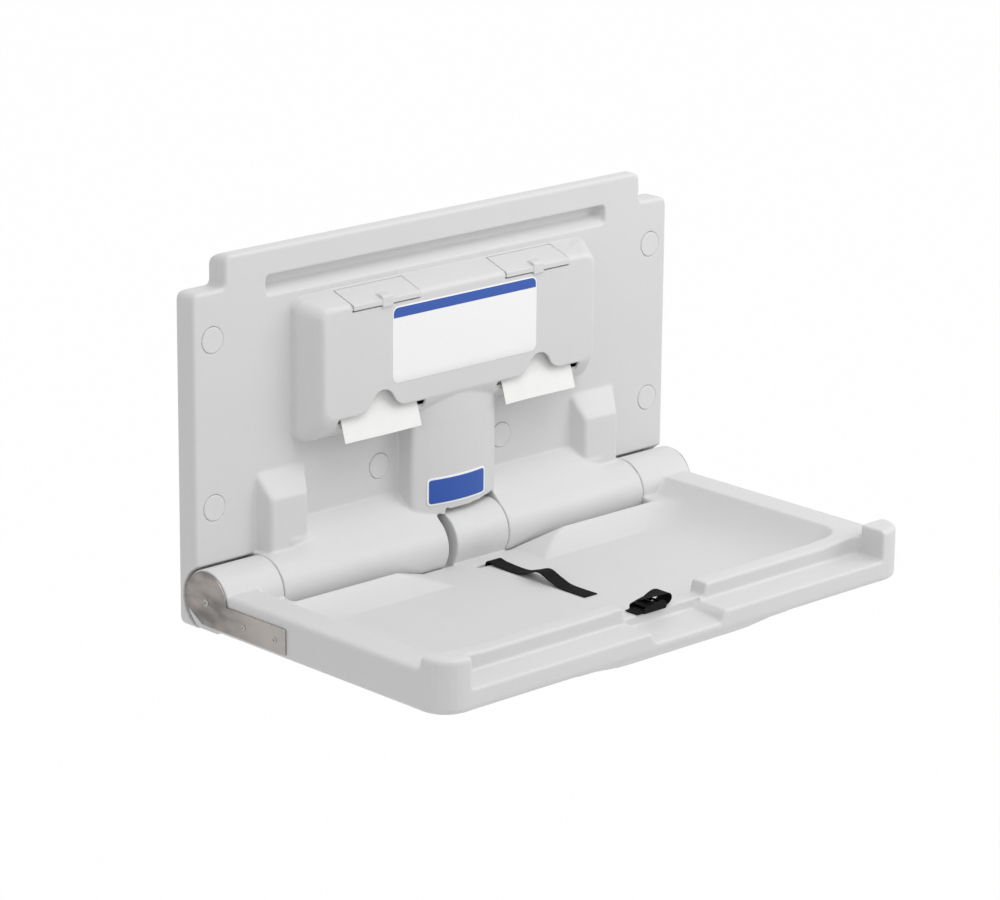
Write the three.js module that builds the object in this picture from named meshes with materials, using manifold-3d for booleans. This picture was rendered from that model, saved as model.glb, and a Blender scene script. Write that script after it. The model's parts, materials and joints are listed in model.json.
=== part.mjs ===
// Baby changing station, horizontal, wall-mounted and fold-down, shown open.
// Millimetres, +Z up. The wall is the plane y = 0, the front faces -Y, and the hinge axis lies at z = 0.
import * as THREE from "three";
import { mergeVertices } from "three/addons/utils/BufferGeometryUtils.js";
import Module from "manifold-3d";

const wasm = await Module();
wasm.setup();

// Gap between pieces that touch or fit into each other
const FIT = 0.3;

// Wall panel
const PANEL_WIDTH = 890;
const PANEL_DEPTH = 37;
const SHOULDER_HEIGHT = 422;
const TAB_WIDTH = 778;
const TAB_HEIGHT = 466;
const PANEL_BEVEL = 4;
const PANEL_CORNER = 14;
const TAB_FOOT_ROUND = 8;
const TAB_REAR_ROUND = 22;

// Long recess in the top of the panel, deepest under its upper edge
const RECESS_WIDTH = 638;
const RECESS_BOTTOM = 399;
const RECESS_TOP = 428;
const RECESS_DEEP = 18;
const RECESS_LEDGE_RISE = 18;
const RECESS_DRAFT = 4;
const RECESS_ROUND = 6;

// Round caps over the six fixing screws
const CAP_RADIUS = 18;
const CAP_THICKNESS = 6;
const CAP_PROUD = 0.8;
const CAP_EDGE = 1.6;
const COUNTERBORE_DEPTH = 12;
const FIXING_BORE_RADIUS = 4.5;
const CAP_SIDE_INSET = 33;
const CAP_INNER_X = 116;
const CAP_UPPER_Z = 355;
const CAP_LOWER_Z = 122;

// Hinge axis, barrels and knuckles
const AXIS_AHEAD = 20;
const BARREL_RADIUS = 45;
const BARREL_SLOPE_TOP = 78;
const KNUCKLE_LENGTH = 98;
const MIDDLE_KNUCKLE_LEFT = -26;
const MIDDLE_KNUCKLE_RIGHT = 73;
const SPRING_GAP = 16;
const KNUCKLE_GAP = 1.2;
const KNUCKLE_ROOT_INSET = 1;
const SWEEP_GAP = 2.5;
const SHAFT_RADIUS = 7;
const BUSH_RADIUS = 11;
const SHAFT_END_GAP = 0.6;

// Buttress blocks beside the dispenser's foot
const BLOCK_INNER_X = 253;
const BLOCK_OUTER_X = 340;
const BLOCK_FRONT_INNER_X = 265;
const BLOCK_FRONT_OUTER_X = 330;
const BLOCK_TOP = 156;
const BLOCK_FRONT_TOP = 122;
const BLOCK_PROUD = 22;
const BLOCK_ROUND = 6;
const BLOCK_EASE = 1;

// Column over the middle knuckle
const COLUMN_WIDTH = 160;
const COLUMN_EDGE_PROUD = 28;
const COLUMN_PROUD = 42;
const COLUMN_FOOT = 20;
const COLUMN_DRAFT = 3;
const COLUMN_BROW = 9;

// Liner dispenser
const BOX_PROUD = 45;
const BOX_BASE_WIDTH = 556;
const BOX_FRONT_WIDTH = 512;
const BOX_TOP = 391;
const BOX_TOP_FALL = 15;
const BOX_BOTTOM = 186;
const BOX_CURL_RISE = 33;
const BOX_CURL_POWER = 2.6;
const BOX_EDGE_ROUND = 5;
const BOX_CORNER = 18;
const BOX_WALL = 3.5;
const BOX_TOP_WALL = 7.5;
const OUTLET_CENTRE = 148;
const OUTLET_WIDTH = 160;
const OUTLET_TOP = 219;
const OUTLET_BOTTOM = 203;
const OUTLET_DEEP = 10;
const ARCH_TOP = 247;
const ARCH_WIDTH = 96;
const ARCH_CROWN = 42;
const ARCH_BEND = 7;

// Filling lids
const LID_CENTRE = 142;
const LID_WIDTH = 122;
const LID_THICKNESS = 2.4;
const LID_LIP = 8;
const LID_LIP_THICKNESS = 1.4;
const LID_PIN_AHEAD = 6;
const LID_PIN_DROP = 3.4;
const LID_PIN_RADIUS = 1.2;
const LID_PIN_OVERHANG = 6;
const LID_BARREL_RADIUS = 2.7;
const LID_TAB_WIDTH = 35;
const LID_TAB_LENGTH = 12;
const LID_TAB_HEIGHT = 2.6;
const LID_TAB_PROUD = 0.8;
const FILL_WIDTH = 106;
const FILL_REAR_AHEAD = 14;
const FILL_FRONT_AHEAD = 38;

// Paper liners
const PACK_WIDTH = 138;
const PACK_HEIGHT = 120;
const PACK_FRONT_ROOM = 14;
const PACK_ROUND = 4;
const SHEET_WIDTH = 146;
const SHEET_THICKNESS = 0.8;
const SHEET_HANG = 35;
const SHEET_RISE = 34;
const SHEET_LIP_GAP = 6;

// Bed
const PLATE_THICKNESS = 2.3;
const BED_REACH = 526;
const BED_CORNER = 48;
const BED_EDGE = 7;
const RIM_HEIGHT = 18;
const RIM_WIDTH = 50;
const FLOOR_CLEARANCE = 4;
const FLOOR_THICKNESS = 11;
const SLOPE_RUN = 106;
const SLOPE_FLOOR_PULL = 62;
const SLOPE_RIM_PULL = 21;
const REAR_CREST = -4;
const REAR_CREST_AHEAD = 66;
const REAR_SLOPE_RUN = 40;
const CREST_RAMP = 74;
const REAR_SLOPE_POWER = 1.6;
const CAVITY_CORNER = 34;
const FRONT_RIM_HEIGHT = 14;
const FRONT_RIM_FALL_RUN = 70;
const FRONT_RIM_THICKNESS = 27;
const FRONT_RIM_FILLET = 14;
const FRONT_FILLET_POWER = 5;
const LEDGE_DEPTH = 51;
const LEDGE_HEIGHT = -9;
const LEDGE_CORNER = 10;
const POST_HEIGHT = 35;
const POST_GAP = 2.5;
const POST_ROUND = 7;
const POST_EDGE = 6;
const BELLY_WIDTH = 400;
const BELLY_FLAT = 190;
const BELLY_DROP = 6;
const BELLY_REAR_AHEAD = 110;
const BELLY_EDGE = 3;
const NOTCH_CENTRE = 8;
const NOTCH_WIDTH = 152;
const NOTCH_HEIGHT = -4;
const NOTCH_DRAFT = 5;
const NOTCH_ROUND = 2;
const HAND_CENTRE = 5;
const HAND_WIDTH = 122;
const HAND_DRAFT = 10;
const HAND_BACK_INSET = 4;
const HAND_REAR_HEIGHT = -18;
const HAND_FRONT_HEIGHT = -25;

// Hinge side plates and their screws
const PLATE_HEAD_INSET = 2;
const PLATE_REACH = 164;
const PLATE_TOP = 4;
const PLATE_BOTTOM = -35;
const PLATE_HEEL = 6;
const PLATE_HEEL_RISE = 13;
const PLATE_CORNER = 2.5;
const PLATE_SCREW_REAR = 78;
const PLATE_SCREW_FRONT = 142;
const PLATE_SCREW_HEIGHT = -15.5;
const PLATE_SCREW_HEAD = 5.5;
const PLATE_SCREW_SHANK = 2.4;
const PLATE_SCREW_LENGTH = 20;
const PIVOT_SCREW_HEAD = 7;
const PIVOT_SCREW_SHANK = 3;
const PIVOT_SCREW_LENGTH = 16;
const SCREW_HEAD_HEIGHT = 2.2;

// Gas spring in the gap beside the middle knuckle
const CRANK_RADIUS = 26;
const CRANK_PIN_RADIUS = 4;
const CRANK_PIN_SEAT = 12;
const CRANK_PLAY = 0.8;
const YOKE_THICKNESS = 9;
const YOKE_WALL = 3;
const ROD_RADIUS = 5;
const ROD_TOP = 138;
const SPRING_RADIUS = 11;
const SPRING_BOTTOM = 62;
const SPRING_TOP = 160;
const SPRING_BORE_TOP = 146;
const SPRING_EYE_HEIGHT = 169;
const SPRING_EYE_RADIUS = 8;
const ANCHOR_PIN_RADIUS = 4;
const ANCHOR_PIN_SEAT = 8;
const CHANNEL_CLEARANCE = 2.5;

// Safety strap
const STRAP_WIDTH = 25;
const STRAP_THICKNESS = 1.5;
const STRAP_CENTRE = 22;
const STRAP_SLOT_AHEAD = 64;
const STRAP_END_AHEAD = 263;
const STRAP_HUMP_AHEAD = 170;
const STRAP_HUMP_RISE = 13;
const STRAP_HUMP_RUN = 46;
const STRAP_HUMP_SHOULDER = 6;
const STRAP_BEND = 5;
const STRAP_SLOT_GAP = 0.5;
const STRAP_PIN_RADIUS = 1.8;
const STRAP_PIN_SEAT = 8;

// Cam buckle on the short strap, lying along the notch
const BUCKLE_CENTRE = -18;
const BUCKLE_PAST_RIM = 13;
const BUCKLE_LENGTH = 40;
const BUCKLE_BASE = 1.6;
const CHEEK_THICKNESS = 1.6;
const CHEEK_HEIGHT = 11;
const CHEEK_LENGTH = 24;
const CHEEK_GAP = 0.6;
const LEVER_RADIUS = 4.2;
const LEVER_REACH = 15;
const LEVER_THICKNESS = 2.6;
const LEVER_BULGE = 1.5;
const LEVER_BULGE_SHARE = 0.6;
const BUCKLE_PIN_RADIUS = 1.6;
const SHORT_SLOT_PAST = 8;
const SHORT_LOOP_HEIGHT = 15;
const SHORT_LOOP_REACH = 12.5;
const SHORT_TAIL = 26;

// Values worked out from the driving dimensions
const AXIS_DEPTH = PANEL_DEPTH + AXIS_AHEAD;
const BED_HALF = PANEL_WIDTH / 2 - PLATE_THICKNESS - FIT;
const KNUCKLE_INNER = BED_HALF - KNUCKLE_LENGTH;
const BARREL_OUTER = KNUCKLE_INNER - KNUCKLE_GAP;
const LEFT_BARREL_INNER = MIDDLE_KNUCKLE_LEFT - SPRING_GAP;
const RIGHT_BARREL_INNER = MIDDLE_KNUCKLE_RIGHT + KNUCKLE_GAP;
const SPRING_X = MIDDLE_KNUCKLE_LEFT - SPRING_GAP / 2;
const BLOCK_MIDDLE = (BLOCK_INNER_X + BLOCK_OUTER_X) / 2;
const BOX_FRONT = PANEL_DEPTH + BOX_PROUD;
const PACK_DEPTH = BOX_PROUD - PACK_FRONT_ROOM;
const BOX_SLOPE = BOX_TOP_FALL / BOX_PROUD;
const FLOOR_HEIGHT = AXIS_AHEAD - BOX_PROUD - FLOOR_CLEARANCE;
const BED_BOTTOM = FLOOR_HEIGHT - FLOOR_THICKNESS;
const BED_FRONT_AHEAD = BED_REACH - AXIS_DEPTH;
const LEDGE_REAR_AHEAD = BED_FRONT_AHEAD - LEDGE_DEPTH;
const FRONT_RIM_AHEAD = LEDGE_REAR_AHEAD - FRONT_RIM_THICKNESS;
const BUCKLE_AHEAD = FRONT_RIM_AHEAD + BUCKLE_PAST_RIM;
const BUCKLE_X = NOTCH_CENTRE + BUCKLE_CENTRE;
const SHORT_SLOT_X = BUCKLE_X + BUCKLE_LENGTH / 2 + SHORT_SLOT_PAST;
const RIM_INNER = BED_HALF - RIM_WIDTH;
const POST_AHEAD = SHOULDER_HEIGHT + POST_GAP;
const POST_INNER = TAB_WIDTH / 2 + POST_GAP;
const PLATE_HEAD_RADIUS = BARREL_RADIUS - PLATE_HEAD_INSET;
const PLATE_INNER = BED_HALF + FIT;
const PLATE_OUTER = PLATE_INNER + PLATE_THICKNESS;
const BOTH_SIDES = [["left", -1], ["right", 1]];
// Past the faces that a cutter has to clear
const PAST = 40;
// Height over which the hollow opens to the rear above its crest
const CREST_STEP = 0.01;

// Depth of a point that lies ahead of the hinge axis, as a Y coordinate
const aheadY = (ahead) => -(AXIS_DEPTH + ahead);

// Helpers: solids, outlines and rings

function solid(geometry) {
  geometry.deleteAttribute("normal");
  geometry.deleteAttribute("uv");
  const merged = mergeVertices(geometry, 1e-4);
  const source = merged.index.array;
  const triangles = [];
  for (let i = 0; i < source.length; i += 3) {
    const [a, b, c] = [source[i], source[i + 1], source[i + 2]];
    if (a !== b && b !== c && c !== a) triangles.push(a, b, c);
  }
  return new wasm.Manifold(new wasm.Mesh({
    numProp: 3,
    vertProperties: new Float32Array(merged.attributes.position.array),
    triVerts: new Uint32Array(triangles),
  }));
}

function union(solids) {
  return solids.reduce((whole, piece) => whole.add(piece));
}

function subtractAll(whole, cutters) {
  return cutters.reduce((rest, cutter) => rest.subtract(cutter), whole);
}

// Closed outline from corners [x, y, round]
function outline(corners) {
  const shape = new THREE.Shape();
  const at = (i) => new THREE.Vector2(...corners[(i + corners.length) % corners.length].slice(0, 2));
  corners.forEach(([x, y, round = 0], i) => {
    const corner = at(i);
    const start = at(i - 1).sub(corner).setLength(round).add(corner);
    const end = at(i + 1).sub(corner).setLength(round).add(corner);
    if (i === 0) shape.moveTo(start.x, start.y);
    else shape.lineTo(start.x, start.y);
    if (round > 0) shape.quadraticCurveTo(x, y, end.x, end.y);
  });
  shape.closePath();
  return shape;
}

function rectangle(x0, x1, y0, y1, round = 0) {
  return outline([[x0, y0, round], [x1, y0, round], [x1, y1, round], [x0, y1, round]]);
}

function extrusion(shape, length, bevel = 0, curveSteps = 5) {
  const geometry = new THREE.ExtrudeGeometry(shape, {
    depth: length - 2 * bevel,
    bevelEnabled: bevel > 0,
    bevelThickness: bevel,
    bevelSize: bevel,
    bevelOffset: -bevel,
    bevelSegments: 2,
    curveSegments: curveSteps,
  });
  return geometry.translate(0, 0, bevel);
}

// Shape in (y, z), run along X
const X_RUN = new THREE.Matrix4().makeBasis(
  new THREE.Vector3(0, 1, 0), new THREE.Vector3(0, 0, 1), new THREE.Vector3(1, 0, 0));
function alongX(shape, x0, x1, bevel = 0, curveSteps = 5) {
  const geometry = extrusion(shape, x1 - x0, bevel, curveSteps);
  return solid(geometry.applyMatrix4(X_RUN).translate(x0, 0, 0));
}

// Shape in (x, z), run outward from one depth to a greater one
function outward(shape, depth0, depth1, bevel = 0, curveSteps = 5) {
  const geometry = extrusion(shape, depth1 - depth0, bevel, curveSteps);
  return solid(geometry.rotateX(Math.PI / 2).translate(0, -depth0, 0));
}

// Shape in (x, y), run upward
function upward(shape, z0, z1, bevel = 0, curveSteps = 5) {
  return solid(extrusion(shape, z1 - z0, bevel, curveSteps).translate(0, 0, z0));
}

function rodX(radius, x0, x1, y, z, sides = 24) {
  const geometry = new THREE.CylinderGeometry(radius, radius, x1 - x0, sides);
  return solid(geometry.rotateZ(Math.PI / 2).translate((x0 + x1) / 2, y, z));
}

function rodY(radius, depth0, depth1, x, z, sides = 24) {
  const geometry = new THREE.CylinderGeometry(radius, radius, depth1 - depth0, sides);
  return solid(geometry.translate(x, -(depth0 + depth1) / 2, z));
}

function rodZ(radius, z0, z1, x, y, sides = 24) {
  const geometry = new THREE.CylinderGeometry(radius, radius, z1 - z0, sides);
  return solid(geometry.rotateX(Math.PI / 2).translate(x, y, (z0 + z1) / 2));
}

// Turned piece: profile points [radius, height], with its height along +Z
function turned(profile, sides = 24) {
  const points = profile.map(([radius, height]) => new THREE.Vector2(radius, height));
  return new THREE.LatheGeometry(points, sides).rotateX(Math.PI / 2);
}

// Corner-rounded ring of points [u, v], counter-clockwise
function roundedRing(u0, u1, v0, v1, round, steps = 6) {
  const centres = [
    [u1 - round, v0 + round, -Math.PI / 2],
    [u1 - round, v1 - round, 0],
    [u0 + round, v1 - round, Math.PI / 2],
    [u0 + round, v0 + round, Math.PI],
  ];
  return centres.flatMap(([u, v, start]) => Array.from({ length: steps + 1 }, (_, k) => {
    const angle = start + (k / steps) * (Math.PI / 2);
    return [u + round * Math.cos(angle), v + round * Math.sin(angle)];
  }));
}

// Skin over rings of points [x, y, z], counter-clockwise as seen from the last ring's side
function loft(rings) {
  const count = rings[0].length;
  const index = [];
  for (let level = 0; level + 1 < rings.length; level += 1) {
    for (let k = 0; k < count; k += 1) {
      const a = level * count + k;
      const b = level * count + (k + 1) % count;
      index.push(a, b, b + count, a, b + count, a + count);
    }
  }
  const last = (rings.length - 1) * count;
  for (let k = 1; k + 1 < count; k += 1) {
    index.push(0, k + 1, k, last, last + k, last + k + 1);
  }
  const geometry = new THREE.BufferGeometry();
  geometry.setAttribute("position", new THREE.Float32BufferAttribute(rings.flat(2), 3));
  geometry.setIndex(index);
  return solid(geometry);
}

// Band of even thickness along a smooth line through the points
function ribbon(points, thickness, steps) {
  const curve = new THREE.SplineCurve(points.map(([u, v]) => new THREE.Vector2(u, v)));
  const sides = [1, -1].map((side) => Array.from({ length: steps + 1 }, (_, k) => {
    const along = curve.getTangent(k / steps);
    const across = new THREE.Vector2(-along.y, along.x).multiplyScalar(side * thickness / 2);
    return curve.getPoint(k / steps).add(across);
  }));
  return new THREE.Shape([...sides[0], ...sides[1].reverse()]);
}

// Wall panel

function plainBarrelShape() {
  const shape = new THREE.Shape();
  shape.moveTo(0, -BARREL_RADIUS);
  shape.lineTo(0, BARREL_RADIUS);
  shape.absarc(-AXIS_DEPTH, 0, BARREL_RADIUS, 0.5 * Math.PI, 1.5 * Math.PI, false);
  shape.closePath();
  return shape;
}

function slopedBarrelShape() {
  const reach = Math.hypot(AXIS_AHEAD, BARREL_SLOPE_TOP);
  const tangent = Math.atan2(BARREL_SLOPE_TOP, AXIS_AHEAD) + Math.acos(BARREL_RADIUS / reach);
  const shape = new THREE.Shape();
  shape.moveTo(0, -BARREL_RADIUS);
  shape.lineTo(0, BARREL_SLOPE_TOP);
  shape.lineTo(-PANEL_DEPTH, BARREL_SLOPE_TOP);
  shape.absarc(-AXIS_DEPTH, 0, BARREL_RADIUS, tangent, 1.5 * Math.PI, false);
  shape.closePath();
  return shape;
}

function panelPlate() {
  const half = PANEL_WIDTH / 2;
  const tab = TAB_WIDTH / 2;
  const shape = outline([
    [-half, -BARREL_RADIUS, PANEL_CORNER],
    [half, -BARREL_RADIUS, PANEL_CORNER],
    [half, SHOULDER_HEIGHT, PANEL_CORNER],
    [tab, SHOULDER_HEIGHT, TAB_FOOT_ROUND],
    [tab, TAB_HEIGHT, PANEL_CORNER],
    [-tab, TAB_HEIGHT, PANEL_CORNER],
    [-tab, SHOULDER_HEIGHT, TAB_FOOT_ROUND],
    [-half, SHOULDER_HEIGHT, PANEL_CORNER],
  ]);
  return outward(shape, 0, PANEL_DEPTH, PANEL_BEVEL);
}

// Everything outside the large round of the tab's upper rear edge
function tabRearCutter() {
  const shape = new THREE.Shape();
  shape.moveTo(PAST, TAB_HEIGHT - TAB_REAR_ROUND);
  shape.lineTo(PAST, TAB_HEIGHT + PAST);
  shape.lineTo(-TAB_REAR_ROUND, TAB_HEIGHT + PAST);
  shape.lineTo(-TAB_REAR_ROUND, TAB_HEIGHT);
  shape.absarc(-TAB_REAR_ROUND, TAB_HEIGHT - TAB_REAR_ROUND, TAB_REAR_ROUND, Math.PI / 2, 0, true);
  shape.closePath();
  return alongX(shape, -TAB_WIDTH, TAB_WIDTH, 0, 6);
}

function recessCutter() {
  const half = RECESS_WIDTH / 2;
  const level = (depth, inset, bottom) => roundedRing(
    -half + inset, half - inset, bottom, RECESS_TOP - inset / 2, RECESS_ROUND, 3,
  ).map(([x, z]) => [x, -depth, z]);
  return loft([
    level(PANEL_DEPTH - RECESS_DEEP, RECESS_DRAFT, RECESS_BOTTOM + RECESS_LEDGE_RISE - RECESS_DRAFT),
    level(PANEL_DEPTH, 0, RECESS_BOTTOM),
    level(PANEL_DEPTH + PAST, 0, RECESS_BOTTOM),
  ]);
}

function buttress(side) {
  const level = (depth, inner, outer, top) => {
    const [x0, x1] = side > 0 ? [inner, outer] : [-outer, -inner];
    return roundedRing(x0, x1, BLOCK_ROUND, top, BLOCK_ROUND, 3).map(([x, z]) => [x, -depth, z]);
  };
  const round = BLOCK_ROUND / 2;
  const front = PANEL_DEPTH + BLOCK_PROUD;
  const innerEase = BLOCK_FRONT_INNER_X - BLOCK_EASE;
  const outerEase = BLOCK_FRONT_OUTER_X + BLOCK_EASE;
  return loft([
    level(PANEL_DEPTH - PANEL_BEVEL, BLOCK_INNER_X, BLOCK_OUTER_X, BLOCK_TOP),
    level(PANEL_DEPTH, BLOCK_INNER_X, BLOCK_OUTER_X, BLOCK_TOP),
    level(front - round, innerEase, outerEase, BLOCK_FRONT_TOP + round),
    level(front, BLOCK_FRONT_INNER_X + round, BLOCK_FRONT_OUTER_X - round, BLOCK_FRONT_TOP - round),
  ]);
}

function column() {
  const half = COLUMN_WIDTH / 2;
  const edge = -(PANEL_DEPTH + COLUMN_EDGE_PROUD);
  const crown = 2 * (PANEL_DEPTH + COLUMN_PROUD) + edge;
  const shape = new THREE.Shape();
  shape.moveTo(half + COLUMN_DRAFT, -PANEL_BEVEL);
  shape.lineTo(-half - COLUMN_DRAFT, -PANEL_BEVEL);
  shape.lineTo(-half, edge + COLUMN_DRAFT);
  shape.quadraticCurveTo(-half + COLUMN_DRAFT / 2, edge, -half + 2 * COLUMN_DRAFT, edge - COLUMN_DRAFT / 2);
  shape.quadraticCurveTo(0, -crown, half - 2 * COLUMN_DRAFT, edge - COLUMN_DRAFT / 2);
  shape.quadraticCurveTo(half - COLUMN_DRAFT / 2, edge, half, edge + COLUMN_DRAFT);
  shape.closePath();
  const brow = rodX(BARREL_RADIUS + COLUMN_BROW, MIDDLE_KNUCKLE_LEFT - KNUCKLE_GAP, RIGHT_BARREL_INNER,
    -AXIS_DEPTH, 0, 52);
  return subtractAll(upward(shape, COLUMN_FOOT, OUTLET_TOP, 0, 7), [coverBlock(FIT), brow]);
}

function capPlaces() {
  const side = PANEL_WIDTH / 2 - CAP_SIDE_INSET;
  return [
    [-side, CAP_UPPER_Z], [-side, CAP_LOWER_Z], [-CAP_INNER_X, CAP_LOWER_Z],
    [CAP_INNER_X, CAP_LOWER_Z], [side, CAP_LOWER_Z], [side, CAP_UPPER_Z],
  ];
}

function fixingBores() {
  return capPlaces().flatMap(([x, z]) => [
    rodY(CAP_RADIUS + FIT, PANEL_DEPTH - COUNTERBORE_DEPTH, PANEL_DEPTH + PAST, x, z, 28),
    rodY(FIXING_BORE_RADIUS, -PAST, PANEL_DEPTH, x, z, 16),
  ]);
}

// Room behind the column for the gas spring, open to the wall
function springRoom() {
  const half = SPRING_RADIUS + CHANNEL_CLEARANCE;
  const depth = springDepth() + half;
  const rodRoom = SPRING_GAP / 2;
  const eyeTop = SPRING_EYE_HEIGHT + SPRING_EYE_RADIUS + CHANNEL_CLEARANCE;
  const body = rectangle(SPRING_X - half, SPRING_X + half, SPRING_BOTTOM - CHANNEL_CLEARANCE, eyeTop);
  const neck = rectangle(SPRING_X - rodRoom, SPRING_X + rodRoom, 0, SPRING_BOTTOM);
  const seat = half + ANCHOR_PIN_SEAT;
  return [
    outward(body, -PAST, depth),
    outward(neck, springDepth() - half, depth),
    rodX(ANCHOR_PIN_RADIUS + FIT, SPRING_X - seat, SPRING_X + seat, -springDepth(), SPRING_EYE_HEIGHT),
  ];
}

function wallPanel() {
  const sweep = BARREL_RADIUS + SWEEP_GAP;
  const whole = union([
    panelPlate(),
    alongX(plainBarrelShape(), -BARREL_OUTER, -BLOCK_MIDDLE, 0, 20),
    alongX(slopedBarrelShape(), -BLOCK_MIDDLE, LEFT_BARREL_INNER, 0, 20),
    alongX(slopedBarrelShape(), RIGHT_BARREL_INNER, BLOCK_MIDDLE, 0, 20),
    alongX(plainBarrelShape(), BLOCK_MIDDLE, BARREL_OUTER, 0, 20),
    buttress(-1),
    buttress(1),
    column(),
  ]);
  return subtractAll(whole, [
    rodX(sweep, -PANEL_WIDTH, -BARREL_OUTER, -AXIS_DEPTH, 0, 52),
    rodX(sweep, LEFT_BARREL_INNER, RIGHT_BARREL_INNER, -AXIS_DEPTH, 0, 52),
    rodX(sweep, BARREL_OUTER, PANEL_WIDTH, -AXIS_DEPTH, 0, 52),
    rodX(SHAFT_RADIUS + FIT, -BARREL_OUTER - PAST, BARREL_OUTER + PAST, -AXIS_DEPTH, 0),
    tabRearCutter(),
    recessCutter(),
    ...fixingBores(),
    ...springRoom(),
  ]);
}

function screwCap() {
  const rear = -CAP_THICKNESS + CAP_PROUD;
  return turned([
    [0, rear],
    [CAP_RADIUS, rear],
    [CAP_RADIUS, CAP_PROUD - CAP_EDGE],
    [CAP_RADIUS - CAP_EDGE / 3, CAP_PROUD - CAP_EDGE / 3],
    [CAP_RADIUS - CAP_EDGE, CAP_PROUD],
    [0, CAP_PROUD],
  ], 28);
}

// Hinge shaft, bushes, side plates and screws

function hingeShaft() {
  const half = BED_HALF - SHAFT_END_GAP;
  const bore = PIVOT_SCREW_SHANK + FIT;
  const deep = half - PIVOT_SCREW_LENGTH;
  const profile = [
    [0, -deep], [bore, -deep], [bore, -half], [SHAFT_RADIUS, -half],
    [SHAFT_RADIUS, half], [bore, half], [bore, deep], [0, deep],
  ];
  return solid(turned(profile, 24).rotateY(Math.PI / 2).translate(0, -AXIS_DEPTH, 0));
}

function bush(x0, x1) {
  const pipe = rodX(BUSH_RADIUS, x0, x1, -AXIS_DEPTH, 0);
  return pipe.subtract(rodX(SHAFT_RADIUS + FIT, x0 - PAST, x1 + PAST, -AXIS_DEPTH, 0));
}

function hingePlate(side) {
  const head = PLATE_HEAD_RADIUS;
  const topAngle = Math.PI - Math.asin(PLATE_TOP / head);
  const heelAngle = -Math.asin(PLATE_HEEL_RISE / head);
  const shape = new THREE.Shape();
  shape.moveTo(aheadY(PLATE_HEEL), PLATE_BOTTOM);
  shape.absarc(-AXIS_DEPTH, 0, head, heelAngle, topAngle, false);
  shape.lineTo(aheadY(PLATE_REACH - PLATE_CORNER), PLATE_TOP);
  shape.quadraticCurveTo(aheadY(PLATE_REACH), PLATE_TOP, aheadY(PLATE_REACH), PLATE_TOP - PLATE_CORNER);
  shape.lineTo(aheadY(PLATE_REACH), PLATE_BOTTOM + PLATE_CORNER);
  shape.quadraticCurveTo(
    aheadY(PLATE_REACH), PLATE_BOTTOM, aheadY(PLATE_REACH - PLATE_CORNER), PLATE_BOTTOM);
  shape.closePath();
  const x0 = side > 0 ? PLATE_INNER : -PLATE_OUTER;
  const plate = alongX(shape, x0, x0 + PLATE_THICKNESS, 0, 11);
  const [past0, past1] = [x0 - PAST, x0 + PAST];
  return subtractAll(plate, [
    rodX(PIVOT_SCREW_SHANK + FIT, past0, past1, -AXIS_DEPTH, 0, 16),
    ...[PLATE_SCREW_REAR, PLATE_SCREW_FRONT].map((ahead) => rodX(
      PLATE_SCREW_SHANK + FIT, past0, past1, aheadY(ahead), PLATE_SCREW_HEIGHT, 16)),
  ]);
}

// Domed screw with its head outside the side plate, pointing inward
function sideScrew(side, headRadius, shankRadius, length, y, z) {
  const dome = [0, 1, 2, 3].map((k) => {
    const angle = (k / 3) * (Math.PI / 2);
    return [k < 3 ? headRadius * Math.cos(angle) : 0, SCREW_HEAD_HEIGHT * Math.sin(angle)];
  });
  const profile = [[0, -length], [shankRadius, -length], [shankRadius, 0], ...dome];
  const geometry = turned(profile, 14).rotateY(side * Math.PI / 2);
  return solid(geometry.translate(side * (PLATE_OUTER + FIT), y, z));
}

// Liner dispenser

// Half width, bottom and top of the box at a share of the way out to its front
function boxSection(share) {
  const start = 1 - BOX_EDGE_ROUND / BOX_PROUD;
  const bend = Math.max(0, (share - start) / (1 - start));
  const edge = BOX_EDGE_ROUND * (1 - Math.sqrt(1 - bend * bend));
  return {
    half: BOX_BASE_WIDTH / 2 - share * (BOX_BASE_WIDTH - BOX_FRONT_WIDTH) / 2 - edge,
    bottom: BOX_BOTTOM + BOX_CURL_RISE * share ** BOX_CURL_POWER + edge / 2,
    top: BOX_TOP - BOX_TOP_FALL * share - edge,
  };
}

const BOX_SHARES = [0, 0.2, 0.4, 0.58, 0.74, 0.89, 0.95, 0.985, 1];

function boxRing(share, depth, side, bottom, top) {
  const section = boxSection(share);
  const ring = roundedRing(
    -section.half + side, section.half - side, section.bottom + bottom, section.top - top, BOX_CORNER, 5);
  return ring.map(([x, z]) => [x, -depth, z]);
}

// Outer form of the dispenser, grown evenly for the piece that meets it
function coverBlock(grow) {
  const rings = BOX_SHARES.map((share) => boxRing(
    share, PANEL_DEPTH + FIT + share * (BOX_PROUD - FIT + grow), -grow, -grow, -grow));
  return loft(rings);
}

function coverHollow() {
  const deep = BOX_PROUD - BOX_WALL;
  const rings = BOX_SHARES.map((share) => boxRing(
    share, PANEL_DEPTH + share * deep, BOX_WALL, BOX_WALL, BOX_TOP_WALL));
  return loft([boxRing(0, PANEL_DEPTH - PAST / 2, BOX_WALL, BOX_WALL, BOX_TOP_WALL), ...rings]);
}

// Height of the box's sloping top at a depth, lowered by a drop square to the slope
function boxTopAt(depth, drop = 0) {
  return BOX_TOP - BOX_SLOPE * (depth - PANEL_DEPTH) - drop * Math.hypot(1, BOX_SLOPE);
}

const LID_PIN_DEPTH = PANEL_DEPTH + LID_PIN_AHEAD;
const LID_PIN_HEIGHT = boxTopAt(LID_PIN_DEPTH) - LID_PIN_DROP;

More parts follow.
